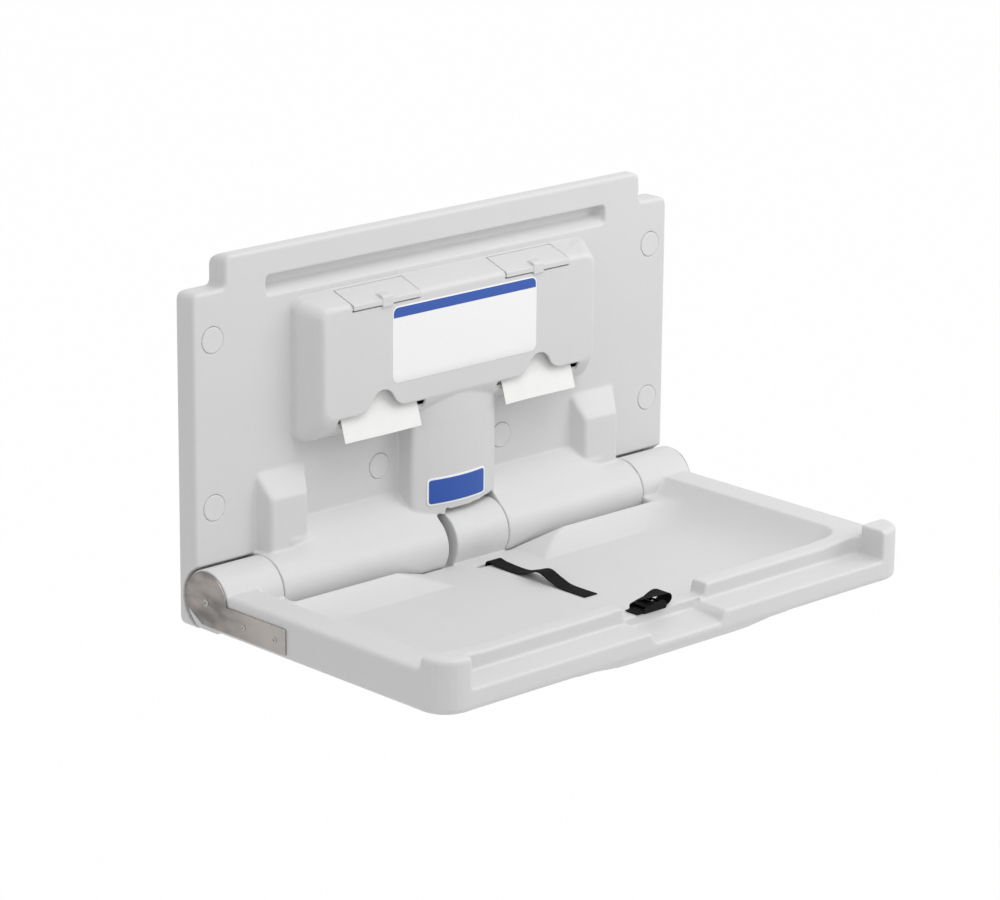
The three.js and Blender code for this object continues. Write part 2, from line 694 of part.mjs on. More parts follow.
function lidSeatCutters(centre) {
  const half = LID_WIDTH / 2 + FIT;
  const rear = LID_PIN_DEPTH - LID_PIN_DROP - 2 * FIT;
  const front = BOX_FRONT + PAST;
  const drop = LID_THICKNESS + FIT;
  const seat = outline([
    [-rear, boxTopAt(rear, drop)], [-front, boxTopAt(front, drop)],
    [-front, BOX_TOP + PAST], [-rear, BOX_TOP + PAST],
  ]);
  const fill = rectangle(
    centre - FILL_WIDTH / 2, centre + FILL_WIDTH / 2,
    -(PANEL_DEPTH + FILL_FRONT_AHEAD), -(PANEL_DEPTH + FILL_REAR_AHEAD), BOX_EDGE_ROUND);
  const pinHalf = LID_WIDTH / 2 + LID_PIN_OVERHANG + FIT;
  return [
    alongX(seat, centre - half, centre + half),
    rodX(LID_PIN_DROP + FIT, centre - half, centre + half, -LID_PIN_DEPTH, LID_PIN_HEIGHT, 16),
    rodX(LID_PIN_RADIUS + FIT, centre - pinHalf, centre + pinHalf, -LID_PIN_DEPTH, LID_PIN_HEIGHT, 12),
    upward(fill, boxTopAt(BOX_FRONT) - PAST, BOX_TOP + PAST),
  ];
}

// Outlet slot with a bell-shaped finger arch over its middle
function outletCutter(centre) {
  const half = OUTLET_WIDTH / 2;
  const foot = ARCH_WIDTH / 2;
  const crown = ARCH_CROWN / 2;
  const middle = (OUTLET_TOP + ARCH_TOP) / 2;
  const shape = new THREE.Shape();
  shape.moveTo(centre - half, OUTLET_BOTTOM);
  shape.lineTo(centre + half, OUTLET_BOTTOM);
  shape.lineTo(centre + half, OUTLET_TOP);
  shape.lineTo(centre + foot, OUTLET_TOP);
  shape.quadraticCurveTo(centre + crown + ARCH_BEND, OUTLET_TOP, centre + crown, middle);
  shape.quadraticCurveTo(centre + crown - ARCH_BEND, ARCH_TOP, centre, ARCH_TOP);
  shape.quadraticCurveTo(centre - crown + ARCH_BEND, ARCH_TOP, centre - crown, middle);
  shape.quadraticCurveTo(centre - crown - ARCH_BEND, OUTLET_TOP, centre - foot, OUTLET_TOP);
  shape.lineTo(centre - half, OUTLET_TOP);
  shape.closePath();
  return outward(shape, BOX_FRONT - OUTLET_DEEP, BOX_FRONT + PAST, 0, 6);
}

function dispenserCover() {
  const cutters = BOTH_SIDES.flatMap(([, side]) => [
    ...lidSeatCutters(side * LID_CENTRE),
    outletCutter(side * OUTLET_CENTRE),
  ]);
  return subtractAll(coverBlock(0), [coverHollow(), ...cutters]);
}

function lid(centre) {
  const front = BOX_FRONT + FIT + LID_LIP_THICKNESS;
  const lipRear = BOX_FRONT + FIT;
  const lipBottom = boxTopAt(BOX_FRONT) - LID_LIP;
  const profile = outline([
    [-LID_PIN_DEPTH, boxTopAt(LID_PIN_DEPTH)],
    [-LID_PIN_DEPTH, boxTopAt(LID_PIN_DEPTH, LID_THICKNESS)],
    [-lipRear, boxTopAt(lipRear, LID_THICKNESS)],
    [-lipRear, lipBottom],
    [-front, lipBottom],
    [-front, boxTopAt(front), LID_LIP_THICKNESS],
  ]);
  const tabRear = front - LID_TAB_LENGTH;
  const tab = outline([
    [-tabRear, boxTopAt(tabRear)],
    [-tabRear, boxTopAt(tabRear, LID_THICKNESS / 2)],
    [-lipRear - LID_LIP_THICKNESS / 2, boxTopAt(lipRear, LID_THICKNESS / 2)],
    [-lipRear - LID_LIP_THICKNESS / 2, lipBottom],
    [-front - LID_TAB_PROUD, lipBottom],
    [-front - LID_TAB_PROUD, boxTopAt(front) + LID_TAB_HEIGHT, LID_LIP_THICKNESS],
  ]);
  const half = LID_WIDTH / 2;
  const tabHalf = LID_TAB_WIDTH / 2;
  return union([
    alongX(profile, centre - half, centre + half),
    alongX(tab, centre - tabHalf, centre + tabHalf),
    rodX(LID_BARREL_RADIUS, centre - half, centre + half, -LID_PIN_DEPTH, LID_PIN_HEIGHT, 16),
  ]).subtract(rodX(
    LID_PIN_RADIUS + FIT, centre - LID_WIDTH, centre + LID_WIDTH, -LID_PIN_DEPTH, LID_PIN_HEIGHT, 12));
}

function lidPin(centre) {
  const half = LID_WIDTH / 2 + LID_PIN_OVERHANG;
  return rodX(LID_PIN_RADIUS, centre - half, centre + half, -LID_PIN_DEPTH, LID_PIN_HEIGHT, 12);
}

// Height of the hollow's floor at a depth, on the straight facets between its rings
function hollowFloorAt(depth) {
  const share = (depth - PANEL_DEPTH) / (BOX_PROUD - BOX_WALL);
  const next = BOX_SHARES.findIndex((value) => value >= share);
  const [low, high] = [BOX_SHARES[next - 1], BOX_SHARES[next]];
  const mix = (share - low) / (high - low);
  return BOX_WALL + boxSection(low).bottom * (1 - mix) + boxSection(high).bottom * mix;
}

function linerPack(centre) {
  const rear = PANEL_DEPTH + FIT;
  const bottom = hollowFloorAt(rear + PACK_DEPTH) + FIT;
  const shape = rectangle(
    centre - PACK_WIDTH / 2, centre + PACK_WIDTH / 2, bottom, bottom + PACK_HEIGHT, PACK_ROUND);
  return outward(shape, rear, rear + PACK_DEPTH);
}

// Sheet drawn down the pack's front, out under the cover's edge and down
function linerSheet(centre) {
  const rear = PANEL_DEPTH + 2 * FIT + PACK_DEPTH + SHEET_THICKNESS / 2;
  const behind = BOX_FRONT - BOX_WALL - SHEET_LIP_GAP;
  const band = ribbon([
    [-rear, OUTLET_TOP + SHEET_RISE],
    [-rear - SHEET_THICKNESS, OUTLET_TOP + SHEET_RISE / 2],
    [-behind, OUTLET_TOP],
    [-BOX_FRONT, OUTLET_TOP - SHEET_HANG / 3],
    [-BOX_FRONT - FLOOR_CLEARANCE / 2, OUTLET_TOP - SHEET_HANG],
  ], SHEET_THICKNESS, 14);
  return alongX(band, centre - SHEET_WIDTH / 2, centre + SHEET_WIDTH / 2);
}

// Bed

function bedPlan() {
  const rear = aheadY(BARREL_RADIUS / 2);
  const front = -BED_REACH;
  return outline([
    [-BED_HALF, rear], [-BED_HALF, front, BED_CORNER], [BED_HALF, front, BED_CORNER], [BED_HALF, rear],
  ]);
}

// Tray hollow: soft side slopes, a low rear crest and a steep front
function trayHollow() {
  const side = new THREE.CubicBezierCurve(
    new THREE.Vector2(RIM_INNER - SLOPE_RUN, FLOOR_HEIGHT),
    new THREE.Vector2(RIM_INNER - SLOPE_RUN + SLOPE_FLOOR_PULL, FLOOR_HEIGHT),
    new THREE.Vector2(RIM_INNER - SLOPE_RIM_PULL, (FLOOR_HEIGHT + RIM_HEIGHT) / 2),
    new THREE.Vector2(RIM_INNER, RIM_HEIGHT));
  const ring = (half, rearAhead, frontAhead, z) => roundedRing(
    -half, half, aheadY(frontAhead), aheadY(rearAhead), CAVITY_CORNER, 6).map(([x, y]) => [x, y, z]);
  const levels = [];
  const steps = 9;
  for (let k = 0; k <= steps; k += 1) {
    const { x: half, y: z } = side.getPoint(k / steps);
    const rise = (z - FLOOR_HEIGHT) / (RIM_HEIGHT - FLOOR_HEIGHT);
    const climb = Math.max(0, (REAR_CREST - z) / (REAR_CREST - FLOOR_HEIGHT));
    const open = z > REAR_CREST ? BARREL_RADIUS / 2 : REAR_CREST_AHEAD;
    const rear = open + REAR_SLOPE_RUN * climb ** REAR_SLOPE_POWER;
    const front = FRONT_RIM_AHEAD - FRONT_RIM_FILLET * (1 - rise) ** FRONT_FILLET_POWER;
    levels.push({ half, rear, front, z });
  }
  const over = levels.findIndex((level) => level.z > REAR_CREST);
  const share = (REAR_CREST - levels[over - 1].z) / (levels[over].z - levels[over - 1].z);
  const half = levels[over - 1].half * (1 - share) + levels[over].half * share;
  const crest = { half, front: FRONT_RIM_AHEAD, z: REAR_CREST, rear: REAR_CREST_AHEAD };
  levels.splice(over, 0, crest, { ...crest, z: REAR_CREST + CREST_STEP, rear: BARREL_RADIUS / 2 });
  const top = levels.at(-1);
  levels.push({ ...top, z: RIM_HEIGHT + PAST });
  return loft(levels.map((level) => ring(level.half, level.rear, level.front, level.z)));
}

// Room that the column and its foot take up when the bed is closed
function columnRoom() {
  const half = COLUMN_WIDTH / 2 + 2 * COLUMN_DRAFT;
  const level = (grow, z) => roundedRing(
    -half - grow, half + grow, aheadY(REAR_CREST_AHEAD + REAR_SLOPE_RUN), -AXIS_DEPTH, COLUMN_DRAFT, 3,
  ).map(([x, y]) => [x, y, z]);
  return loft([level(0, FLOOR_HEIGHT), level(CREST_RAMP, REAR_CREST), level(CREST_RAMP, PAST)]);
}

// Bevel of the rear crest, along the barrels' slope when the bed is closed
function crestBevel(x0, x1) {
  const reach = Math.hypot(AXIS_AHEAD, BARREL_SLOPE_TOP);
  const tangent = Math.atan2(BARREL_SLOPE_TOP, AXIS_AHEAD) + Math.acos(BARREL_RADIUS / reach);
  const gap = BARREL_RADIUS + SWEEP_GAP / 2;
  const foot = [gap * Math.sin(tangent), gap * Math.cos(tangent)];
  const run = REAR_CREST_AHEAD - foot[0];
  const top = foot[1] + run * Math.tan(tangent - Math.PI / 2);
  return alongX(outline([
    [aheadY(foot[0]), foot[1]],
    [aheadY(REAR_CREST_AHEAD), top],
    [aheadY(REAR_CREST_AHEAD), top + PAST],
    [-AXIS_DEPTH, top + PAST],
    [-AXIS_DEPTH, foot[1]],
  ]), x0, x1);
}

function frontLedge() {
  const plan = rectangle(
    -POST_INNER, POST_INNER, aheadY(BED_FRONT_AHEAD + PAST), aheadY(LEDGE_REAR_AHEAD), LEDGE_CORNER);
  const level = RIM_INNER - FRONT_RIM_FALL_RUN;
  const overRim = outline([
    [-RIM_INNER, RIM_HEIGHT], [-level, FRONT_RIM_HEIGHT], [level, FRONT_RIM_HEIGHT], [RIM_INNER, RIM_HEIGHT],
    [RIM_INNER, RIM_HEIGHT + PAST], [-RIM_INNER, RIM_HEIGHT + PAST],
  ]);
  const rear = AXIS_DEPTH + FRONT_RIM_AHEAD;
  return [
    upward(plan, LEDGE_HEIGHT, POST_HEIGHT + PAST),
    outward(overRim, rear - LEDGE_CORNER, AXIS_DEPTH + LEDGE_REAR_AHEAD + LEDGE_CORNER),
  ];
}

// Notch in the front rim and the hand recess in front of it
function handCutters() {
  const notchHalf = NOTCH_WIDTH / 2;
  const notch = outline([
    [NOTCH_CENTRE - notchHalf, NOTCH_HEIGHT, NOTCH_ROUND],
    [NOTCH_CENTRE + notchHalf, NOTCH_HEIGHT, NOTCH_ROUND],
    [NOTCH_CENTRE + notchHalf + 2 * NOTCH_DRAFT, NOTCH_HEIGHT + PAST],
    [NOTCH_CENTRE - notchHalf - 2 * NOTCH_DRAFT, NOTCH_HEIGHT + PAST],
  ]);
  const half = HAND_WIDTH / 2;
  const level = (ahead, bottom) => [
    [HAND_CENTRE - half, bottom],
    [HAND_CENTRE + half, bottom],
    [HAND_CENTRE + half + HAND_DRAFT, LEDGE_HEIGHT],
    [HAND_CENTRE + half + HAND_DRAFT, PAST],
    [HAND_CENTRE - half - HAND_DRAFT, PAST],
    [HAND_CENTRE - half - HAND_DRAFT, LEDGE_HEIGHT],
  ].map(([x, z]) => [x, aheadY(ahead), z]);
  const backAhead = LEDGE_REAR_AHEAD - HAND_BACK_INSET;
  const fall = (HAND_FRONT_HEIGHT - HAND_REAR_HEIGHT) / (BED_FRONT_AHEAD - backAhead);
  const frontAhead = BED_FRONT_AHEAD + PAST;
  return [
    outward(notch, AXIS_DEPTH + FRONT_RIM_AHEAD - PAST, AXIS_DEPTH + LEDGE_REAR_AHEAD + NOTCH_ROUND, 0, 3),
    loft([
      level(backAhead, HAND_REAR_HEIGHT),
      level(frontAhead, HAND_REAR_HEIGHT + fall * (frontAhead - backAhead)),
    ]),
  ];
}

function cornerPosts() {
  const tall = upward(bedPlan(), BED_BOTTOM, POST_HEIGHT, POST_EDGE, 8);
  return BOTH_SIDES.map(([, side]) => {
    const [x0, x1] = side > 0 ? [POST_INNER, BED_HALF + PAST] : [-BED_HALF - PAST, -POST_INNER];
    const zone = rectangle(x0, x1, aheadY(BED_FRONT_AHEAD + PAST), aheadY(POST_AHEAD), POST_ROUND);
    return tall.intersect(upward(zone, BED_BOTTOM, POST_HEIGHT + PAST));
  });
}

function belly() {
  const [half, flat] = [BELLY_WIDTH / 2, BELLY_FLAT / 2];
  const low = BED_BOTTOM - BELLY_DROP;
  const top = BED_BOTTOM + BELLY_EDGE;
  const bend = (half - flat) / 2;
  const shape = new THREE.Shape();
  shape.moveTo(-half, top);
  shape.lineTo(-half, BED_BOTTOM);
  shape.bezierCurveTo(-half + bend, BED_BOTTOM, -flat - bend, low, -flat, low);
  shape.lineTo(flat, low);
  shape.bezierCurveTo(flat + bend, low, half - bend, BED_BOTTOM, half, BED_BOTTOM);
  shape.lineTo(half, top);
  shape.closePath();
  return outward(shape, AXIS_DEPTH + BELLY_REAR_AHEAD, BED_REACH - BELLY_EDGE, 0, 8);
}

function knuckleCutters() {
  const { y, z } = crankPlace();
  const crankEnd = MIDDLE_KNUCKLE_LEFT + CRANK_PIN_SEAT + FIT;
  return [
    rodX(BUSH_RADIUS + FIT, -BED_HALF - PAST, BED_HALF + PAST, -AXIS_DEPTH, 0),
    rodX(CRANK_PIN_RADIUS + FIT, MIDDLE_KNUCKLE_LEFT - SPRING_GAP, crankEnd, y, z, 16),
  ];
}

function strapSlots() {
  const wide = STRAP_WIDTH / 2 + STRAP_SLOT_GAP;
  const thick = STRAP_THICKNESS / 2 + STRAP_SLOT_GAP;
  const rear = aheadY(STRAP_SLOT_AHEAD);
  const front = aheadY(BUCKLE_AHEAD);
  const { rear: rearPin, front: frontPin } = strapPinHeights();
  const pin = STRAP_PIN_RADIUS + FIT;
  const pinHalf = STRAP_PIN_SEAT + FIT;
  const longSlot = rectangle(STRAP_CENTRE - wide, STRAP_CENTRE + wide, rear - thick, rear + thick);
  const shortSlot = rectangle(SHORT_SLOT_X - thick, SHORT_SLOT_X + thick, front - wide, front + wide);
  return [
    upward(longSlot, -2 * PAST, 0),
    upward(shortSlot, -2 * PAST, PAST),
    rodY(pin, -rear - pinHalf, -rear + pinHalf, STRAP_CENTRE, rearPin, 12),
    rodX(pin, SHORT_SLOT_X - pinHalf, SHORT_SLOT_X + pinHalf, front, frontPin, 12),
  ];
}

function strapPinHeights() {
  return { rear: FLOOR_HEIGHT - FLOOR_THICKNESS / 2, front: NOTCH_HEIGHT - FLOOR_THICKNESS };
}

function plateScrewBores() {
  return BOTH_SIDES.flatMap(([, side]) => [PLATE_SCREW_REAR, PLATE_SCREW_FRONT].map((ahead) => {
    const [deep, past] = [BED_HALF - PLATE_SCREW_LENGTH, BED_HALF + PAST];
    const [x0, x1] = side > 0 ? [deep, past] : [-past, -deep];
    return rodX(PLATE_SCREW_SHANK + FIT, x0, x1, aheadY(ahead), PLATE_SCREW_HEIGHT, 16);
  }));
}

function bedTray() {
  const sweep = BARREL_RADIUS + SWEEP_GAP / 2;
  const shell = subtractAll(upward(bedPlan(), BED_BOTTOM, RIM_HEIGHT, BED_EDGE, 8), [
    trayHollow(),
    ...frontLedge(),
  ]);
  const body = subtractAll(union([shell, belly(), ...cornerPosts()]), [
    columnRoom(),
    rodX(sweep, -BARREL_OUTER, BARREL_OUTER, -AXIS_DEPTH, 0, 52),
    crestBevel(-BARREL_OUTER, BARREL_OUTER),
    ...handCutters(),
  ]);
  const root = outline([
    [-AXIS_DEPTH, -BARREL_RADIUS + KNUCKLE_ROOT_INSET],
    [aheadY(REAR_CREST_AHEAD), BED_BOTTOM],
    [aheadY(REAR_CREST_AHEAD), FLOOR_HEIGHT],
    [-AXIS_DEPTH, FLOOR_HEIGHT],
  ]);
  const whole = union([
    body,
    rodX(BARREL_RADIUS, -BED_HALF, -KNUCKLE_INNER, -AXIS_DEPTH, 0, 52),
    rodX(BARREL_RADIUS, MIDDLE_KNUCKLE_LEFT, MIDDLE_KNUCKLE_RIGHT, -AXIS_DEPTH, 0, 52),
    rodX(BARREL_RADIUS, KNUCKLE_INNER, BED_HALF, -AXIS_DEPTH, 0, 52),
    alongX(root, MIDDLE_KNUCKLE_LEFT, MIDDLE_KNUCKLE_RIGHT),
  ]);
  return subtractAll(whole, [...knuckleCutters(), ...strapSlots(), ...plateScrewBores()]);
}

// Gas spring

// Crank pin behind and above the axis when the bed is open
function crankPlace() {
  const arm = CRANK_RADIUS * Math.SQRT1_2;
  return { y: -AXIS_DEPTH + arm, z: arm };
}

function springDepth() {
  const arm = CRANK_RADIUS * Math.SQRT1_2;
  return AXIS_DEPTH - (arm + CRANK_RADIUS) / 2;
}

function crankPin() {
  const { y, z } = crankPlace();
  const end = SPRING_X - YOKE_THICKNESS / 2 - FIT;
  return rodX(CRANK_PIN_RADIUS, end, MIDDLE_KNUCKLE_LEFT + CRANK_PIN_SEAT, y, z, 16);
}

// Rod with a slotted eye, in which the crank pin runs to and fro
function springRod() {
  const { z } = crankPlace();
  const slotHalf = (CRANK_RADIUS - CRANK_RADIUS * Math.SQRT1_2) / 2 + CRANK_PIN_RADIUS + FIT;
  const slotRise = CRANK_PIN_RADIUS + CRANK_PLAY + FIT;
  const y = -springDepth();
  const x0 = SPRING_X - YOKE_THICKNESS / 2;
  const outer = [slotHalf + YOKE_WALL, slotRise + YOKE_WALL];
  const yoke = rectangle(y - outer[0], y + outer[0], z - outer[1], z + outer[1], YOKE_WALL);
  const slot = rectangle(y - slotHalf, y + slotHalf, z - slotRise, z + slotRise, YOKE_WALL);
  return alongX(yoke, x0, x0 + YOKE_THICKNESS)
    .subtract(alongX(slot, x0 - PAST, x0 + PAST))
    .add(rodZ(ROD_RADIUS, z + slotRise + YOKE_WALL / 2, ROD_TOP, SPRING_X, y, 16));
}

function springBody() {
  const bore = ROD_RADIUS + FIT;
  const tube = turned([
    [0, SPRING_BORE_TOP], [bore, SPRING_BORE_TOP], [bore, SPRING_BOTTOM],
    [SPRING_RADIUS, SPRING_BOTTOM], [SPRING_RADIUS, SPRING_TOP], [0, SPRING_TOP],
  ], 24);
  const y = -springDepth();
  const x0 = SPRING_X - YOKE_THICKNESS / 2;
  const lug = rectangle(y - SPRING_EYE_RADIUS, y + SPRING_EYE_RADIUS,
    SPRING_TOP - YOKE_WALL, SPRING_EYE_HEIGHT + SPRING_EYE_RADIUS, YOKE_WALL);
  const eye = rodX(ANCHOR_PIN_RADIUS + FIT, x0 - PAST, x0 + PAST, y, SPRING_EYE_HEIGHT, 16);
  return solid(tube.translate(SPRING_X, y, 0)).add(alongX(lug, x0, x0 + YOKE_THICKNESS)).subtract(eye);
}

function anchorPin() {
  const half = SPRING_RADIUS + CHANNEL_CLEARANCE + ANCHOR_PIN_SEAT - FIT;
  return rodX(ANCHOR_PIN_RADIUS, SPRING_X - half, SPRING_X + half, -springDepth(), SPRING_EYE_HEIGHT, 16);
}

// Safety strap and buckle

// Long end: up through its slot, over the tray floor with one hump
function strapLong() {
  const lift = STRAP_THICKNESS / 2 + FIT;
  const floor = FLOOR_HEIGHT + lift;
  const low = strapPinHeights().rear - STRAP_PIN_RADIUS - STRAP_THICKNESS;
  const y = aheadY;
  const band = ribbon([
    [y(STRAP_SLOT_AHEAD), low],
    [y(STRAP_SLOT_AHEAD), FLOOR_HEIGHT - STRAP_THICKNESS],
    [y(STRAP_SLOT_AHEAD), FLOOR_HEIGHT + STRAP_THICKNESS],
    [y(STRAP_SLOT_AHEAD + STRAP_BEND), FLOOR_HEIGHT + STRAP_BEND],
    [y(STRAP_SLOT_AHEAD + 4 * STRAP_BEND), floor + STRAP_THICKNESS],
    [y(STRAP_HUMP_AHEAD - STRAP_HUMP_RUN), floor + FIT],
    [y(STRAP_HUMP_AHEAD - STRAP_HUMP_RUN / 2), floor + STRAP_HUMP_SHOULDER],
    [y(STRAP_HUMP_AHEAD), floor + STRAP_HUMP_RISE],
    [y(STRAP_HUMP_AHEAD + STRAP_HUMP_RUN / 2), floor + STRAP_HUMP_SHOULDER],
    [y(STRAP_HUMP_AHEAD + STRAP_HUMP_RUN), floor + FIT],
    [y(STRAP_END_AHEAD), floor],
  ], STRAP_THICKNESS, 44);
  const half = STRAP_WIDTH / 2;
  const hole = rodY(STRAP_PIN_RADIUS + FIT, AXIS_DEPTH, AXIS_DEPTH + STRAP_SLOT_AHEAD + STRAP_BEND,
    STRAP_CENTRE, strapPinHeights().rear, 12);
  return alongX(band, STRAP_CENTRE - half, STRAP_CENTRE + half).subtract(hole);
}

function strapPinRear() {
  const depth = AXIS_DEPTH + STRAP_SLOT_AHEAD;
  return rodY(STRAP_PIN_RADIUS, depth - STRAP_PIN_SEAT, depth + STRAP_PIN_SEAT,
    STRAP_CENTRE, strapPinHeights().rear, 12);
}

function strapPinFront() {
  return rodX(STRAP_PIN_RADIUS, SHORT_SLOT_X - STRAP_PIN_SEAT, SHORT_SLOT_X + STRAP_PIN_SEAT,
    aheadY(BUCKLE_AHEAD), strapPinHeights().front, 12);
}

const BUCKLE_FLOOR = NOTCH_HEIGHT + FIT;
const BUCKLE_STRAP_MIDDLE = BUCKLE_FLOOR + BUCKLE_BASE + FIT + STRAP_THICKNESS / 2;
const LEVER_PIVOT_HEIGHT = BUCKLE_STRAP_MIDDLE + STRAP_THICKNESS / 2 + FIT + LEVER_RADIUS;
const BUCKLE_INNER_HALF = STRAP_WIDTH / 2 + CHEEK_GAP;

// Short end: out of its slot, round a loop that leans outwards, through the buckle and out as a tail
function strapShort() {
  const slotX = SHORT_SLOT_X;
  const buckleRight = BUCKLE_X + BUCKLE_LENGTH / 2;
  const buckleLeft = BUCKLE_X - BUCKLE_LENGTH / 2;
  const middle = BUCKLE_STRAP_MIDDLE;
  const low = strapPinHeights().front - STRAP_PIN_RADIUS - STRAP_THICKNESS;
  const top = NOTCH_HEIGHT + SHORT_LOOP_HEIGHT;
  const band = ribbon([
    [slotX, low],
    [slotX, NOTCH_HEIGHT - STRAP_THICKNESS],
    [slotX + STRAP_THICKNESS, NOTCH_HEIGHT + STRAP_BEND],
    [buckleRight + SHORT_LOOP_REACH, NOTCH_HEIGHT + 2 * STRAP_BEND],
    [slotX, top],
    [buckleRight, top - STRAP_THICKNESS],
    [BUCKLE_X + 2.5 * LEVER_RADIUS, middle + STRAP_BEND],
    [BUCKLE_X + LEVER_RADIUS, middle + STRAP_THICKNESS / 2],
    [BUCKLE_X, middle],
    [buckleLeft + STRAP_THICKNESS, middle],
    [buckleLeft - SHORT_TAIL / 2, middle - STRAP_THICKNESS],
    [buckleLeft - SHORT_TAIL, NOTCH_HEIGHT + FIT + STRAP_THICKNESS],
  ], STRAP_THICKNESS, 48);
  const depth = AXIS_DEPTH + BUCKLE_AHEAD;
  const hole = rodX(STRAP_PIN_RADIUS + FIT, slotX - STRAP_PIN_SEAT, slotX + STRAP_PIN_SEAT,
    -depth, strapPinHeights().front, 12);
  return outward(band, depth - STRAP_WIDTH / 2, depth + STRAP_WIDTH / 2).subtract(hole);
}

function buckleBody() {
  const depth = AXIS_DEPTH + BUCKLE_AHEAD;
  const outer = BUCKLE_INNER_HALF + CHEEK_THICKNESS;
  const left = BUCKLE_X - BUCKLE_LENGTH / 2;
  const base = rectangle(left, left + BUCKLE_LENGTH, -depth - outer, -depth + outer, CHEEK_THICKNESS);
  const cheek = outline([
    [BUCKLE_X - CHEEK_LENGTH / 2, BUCKLE_FLOOR],
    [BUCKLE_X + CHEEK_LENGTH / 2, BUCKLE_FLOOR],
    [BUCKLE_X + CHEEK_LENGTH / 3, BUCKLE_FLOOR + CHEEK_HEIGHT, CHEEK_HEIGHT / 3],
    [BUCKLE_X - CHEEK_LENGTH / 4, BUCKLE_FLOOR + CHEEK_HEIGHT, CHEEK_HEIGHT / 3],
  ]);
  return union([
    upward(base, BUCKLE_FLOOR, BUCKLE_FLOOR + BUCKLE_BASE),
    outward(cheek, depth - outer, depth - BUCKLE_INNER_HALF),
    outward(cheek, depth + BUCKLE_INNER_HALF, depth + outer),
  ]).subtract(rodY(
    BUCKLE_PIN_RADIUS + FIT, depth - 2 * outer, depth + 2 * outer, BUCKLE_X, LEVER_PIVOT_HEIGHT, 16));
}

function bucklePin() {
  const depth = AXIS_DEPTH + BUCKLE_AHEAD;
  const half = BUCKLE_INNER_HALF + CHEEK_THICKNESS;
  return rodY(BUCKLE_PIN_RADIUS, depth - half, depth + half, BUCKLE_X, LEVER_PIVOT_HEIGHT, 16);
}

// Cam lever: a round cam on the pin with a thumb arm to the left
function buckleLever() {
  const depth = AXIS_DEPTH + BUCKLE_AHEAD;
  const half = BUCKLE_INNER_HALF - FIT;
  const top = LEVER_PIVOT_HEIGHT + LEVER_RADIUS;
  const arm = outline([
    [BUCKLE_X, top],
    [BUCKLE_X, top - LEVER_THICKNESS],
    [BUCKLE_X - LEVER_REACH * LEVER_BULGE_SHARE, top - LEVER_THICKNESS - LEVER_BULGE],
    [BUCKLE_X - LEVER_REACH, top - LEVER_THICKNESS, LEVER_THICKNESS / 3],
    [BUCKLE_X - LEVER_REACH, top - LEVER_THICKNESS / 3, LEVER_THICKNESS / 3],
  ]);
  return union([
    rodY(LEVER_RADIUS, depth - half, depth + half, BUCKLE_X, LEVER_PIVOT_HEIGHT, 20),
    outward(arm, depth - half, depth + half),
  ]).subtract(rodY(
    BUCKLE_PIN_RADIUS + FIT, depth - 2 * half, depth + 2 * half, BUCKLE_X, LEVER_PIVOT_HEIGHT, 16));
}

// Materials

function material(color, roughness, metalness = 0) {
  return new THREE.MeshStandardMaterial({ color, roughness, metalness });
}

const MATERIALS = {
  plastic: material(0xd6d6d4, 0.5),
  cap: material(0xdcdcda, 0.45),
  steel: material(0xb4b0a8, 0.32, 1),
  darkSteel: material(0x3c3d40, 0.4, 1),
  bushing: material(0x2a2a2c, 0.6),
  paper: material(0xeeeeec, 0.9),
  webbing: material(0x202020, 0.9),
  buckle: material(0x1c1c1e, 0.45),
};

// Assembly

const station = new THREE.Group();

function place(name, shape, look) {
  let geometry = shape;
  if (!shape.isBufferGeometry) {
    const { vertProperties, triVerts } = shape.getMesh();
    geometry = new THREE.BufferGeometry();
    geometry.setAttribute("position", new THREE.BufferAttribute(vertProperties, 3));
    geometry.setIndex(new THREE.BufferAttribute(triVerts, 1));
    geometry.computeVertexNormals();
  }
  const mesh = new THREE.Mesh(geometry, MATERIALS[look].clone());
  mesh.name = name;
  station.add(mesh);
  return mesh;
}

place("wall_panel", wallPanel(), "plastic");
capPlaces().forEach(([x, z], i) => {
  const cap = place(`screw_cap_${i + 1}`, screwCap(), "cap");
  cap.position.set(x, -PANEL_DEPTH, z);
  cap.rotation.x = Math.PI / 2;
});
place("hinge_shaft", hingeShaft(), "steel");
place("hinge_bush_middle", bush(MIDDLE_KNUCKLE_LEFT + FIT, MIDDLE_KNUCKLE_RIGHT - FIT), "bushing");
place("dispenser_cover", dispenserCover(), "plastic");
place("bed_tray", bedTray(), "plastic");
place("gas_spring_body", springBody(), "darkSteel");
place("gas_spring_rod", springRod(), "steel");
place("gas_spring_anchor_pin", anchorPin(), "steel");
place("gas_spring_crank_pin", crankPin(), "steel");
place("strap_long", strapLong(), "webbing");
place("strap_short", strapShort(), "webbing");
place("strap_pin_rear", strapPinRear(), "steel");
place("strap_pin_front", strapPinFront(), "steel");
place("buckle_body", buckleBody(), "buckle");
place("buckle_pin", bucklePin(), "steel");
place("buckle_lever", buckleLever(), "buckle");

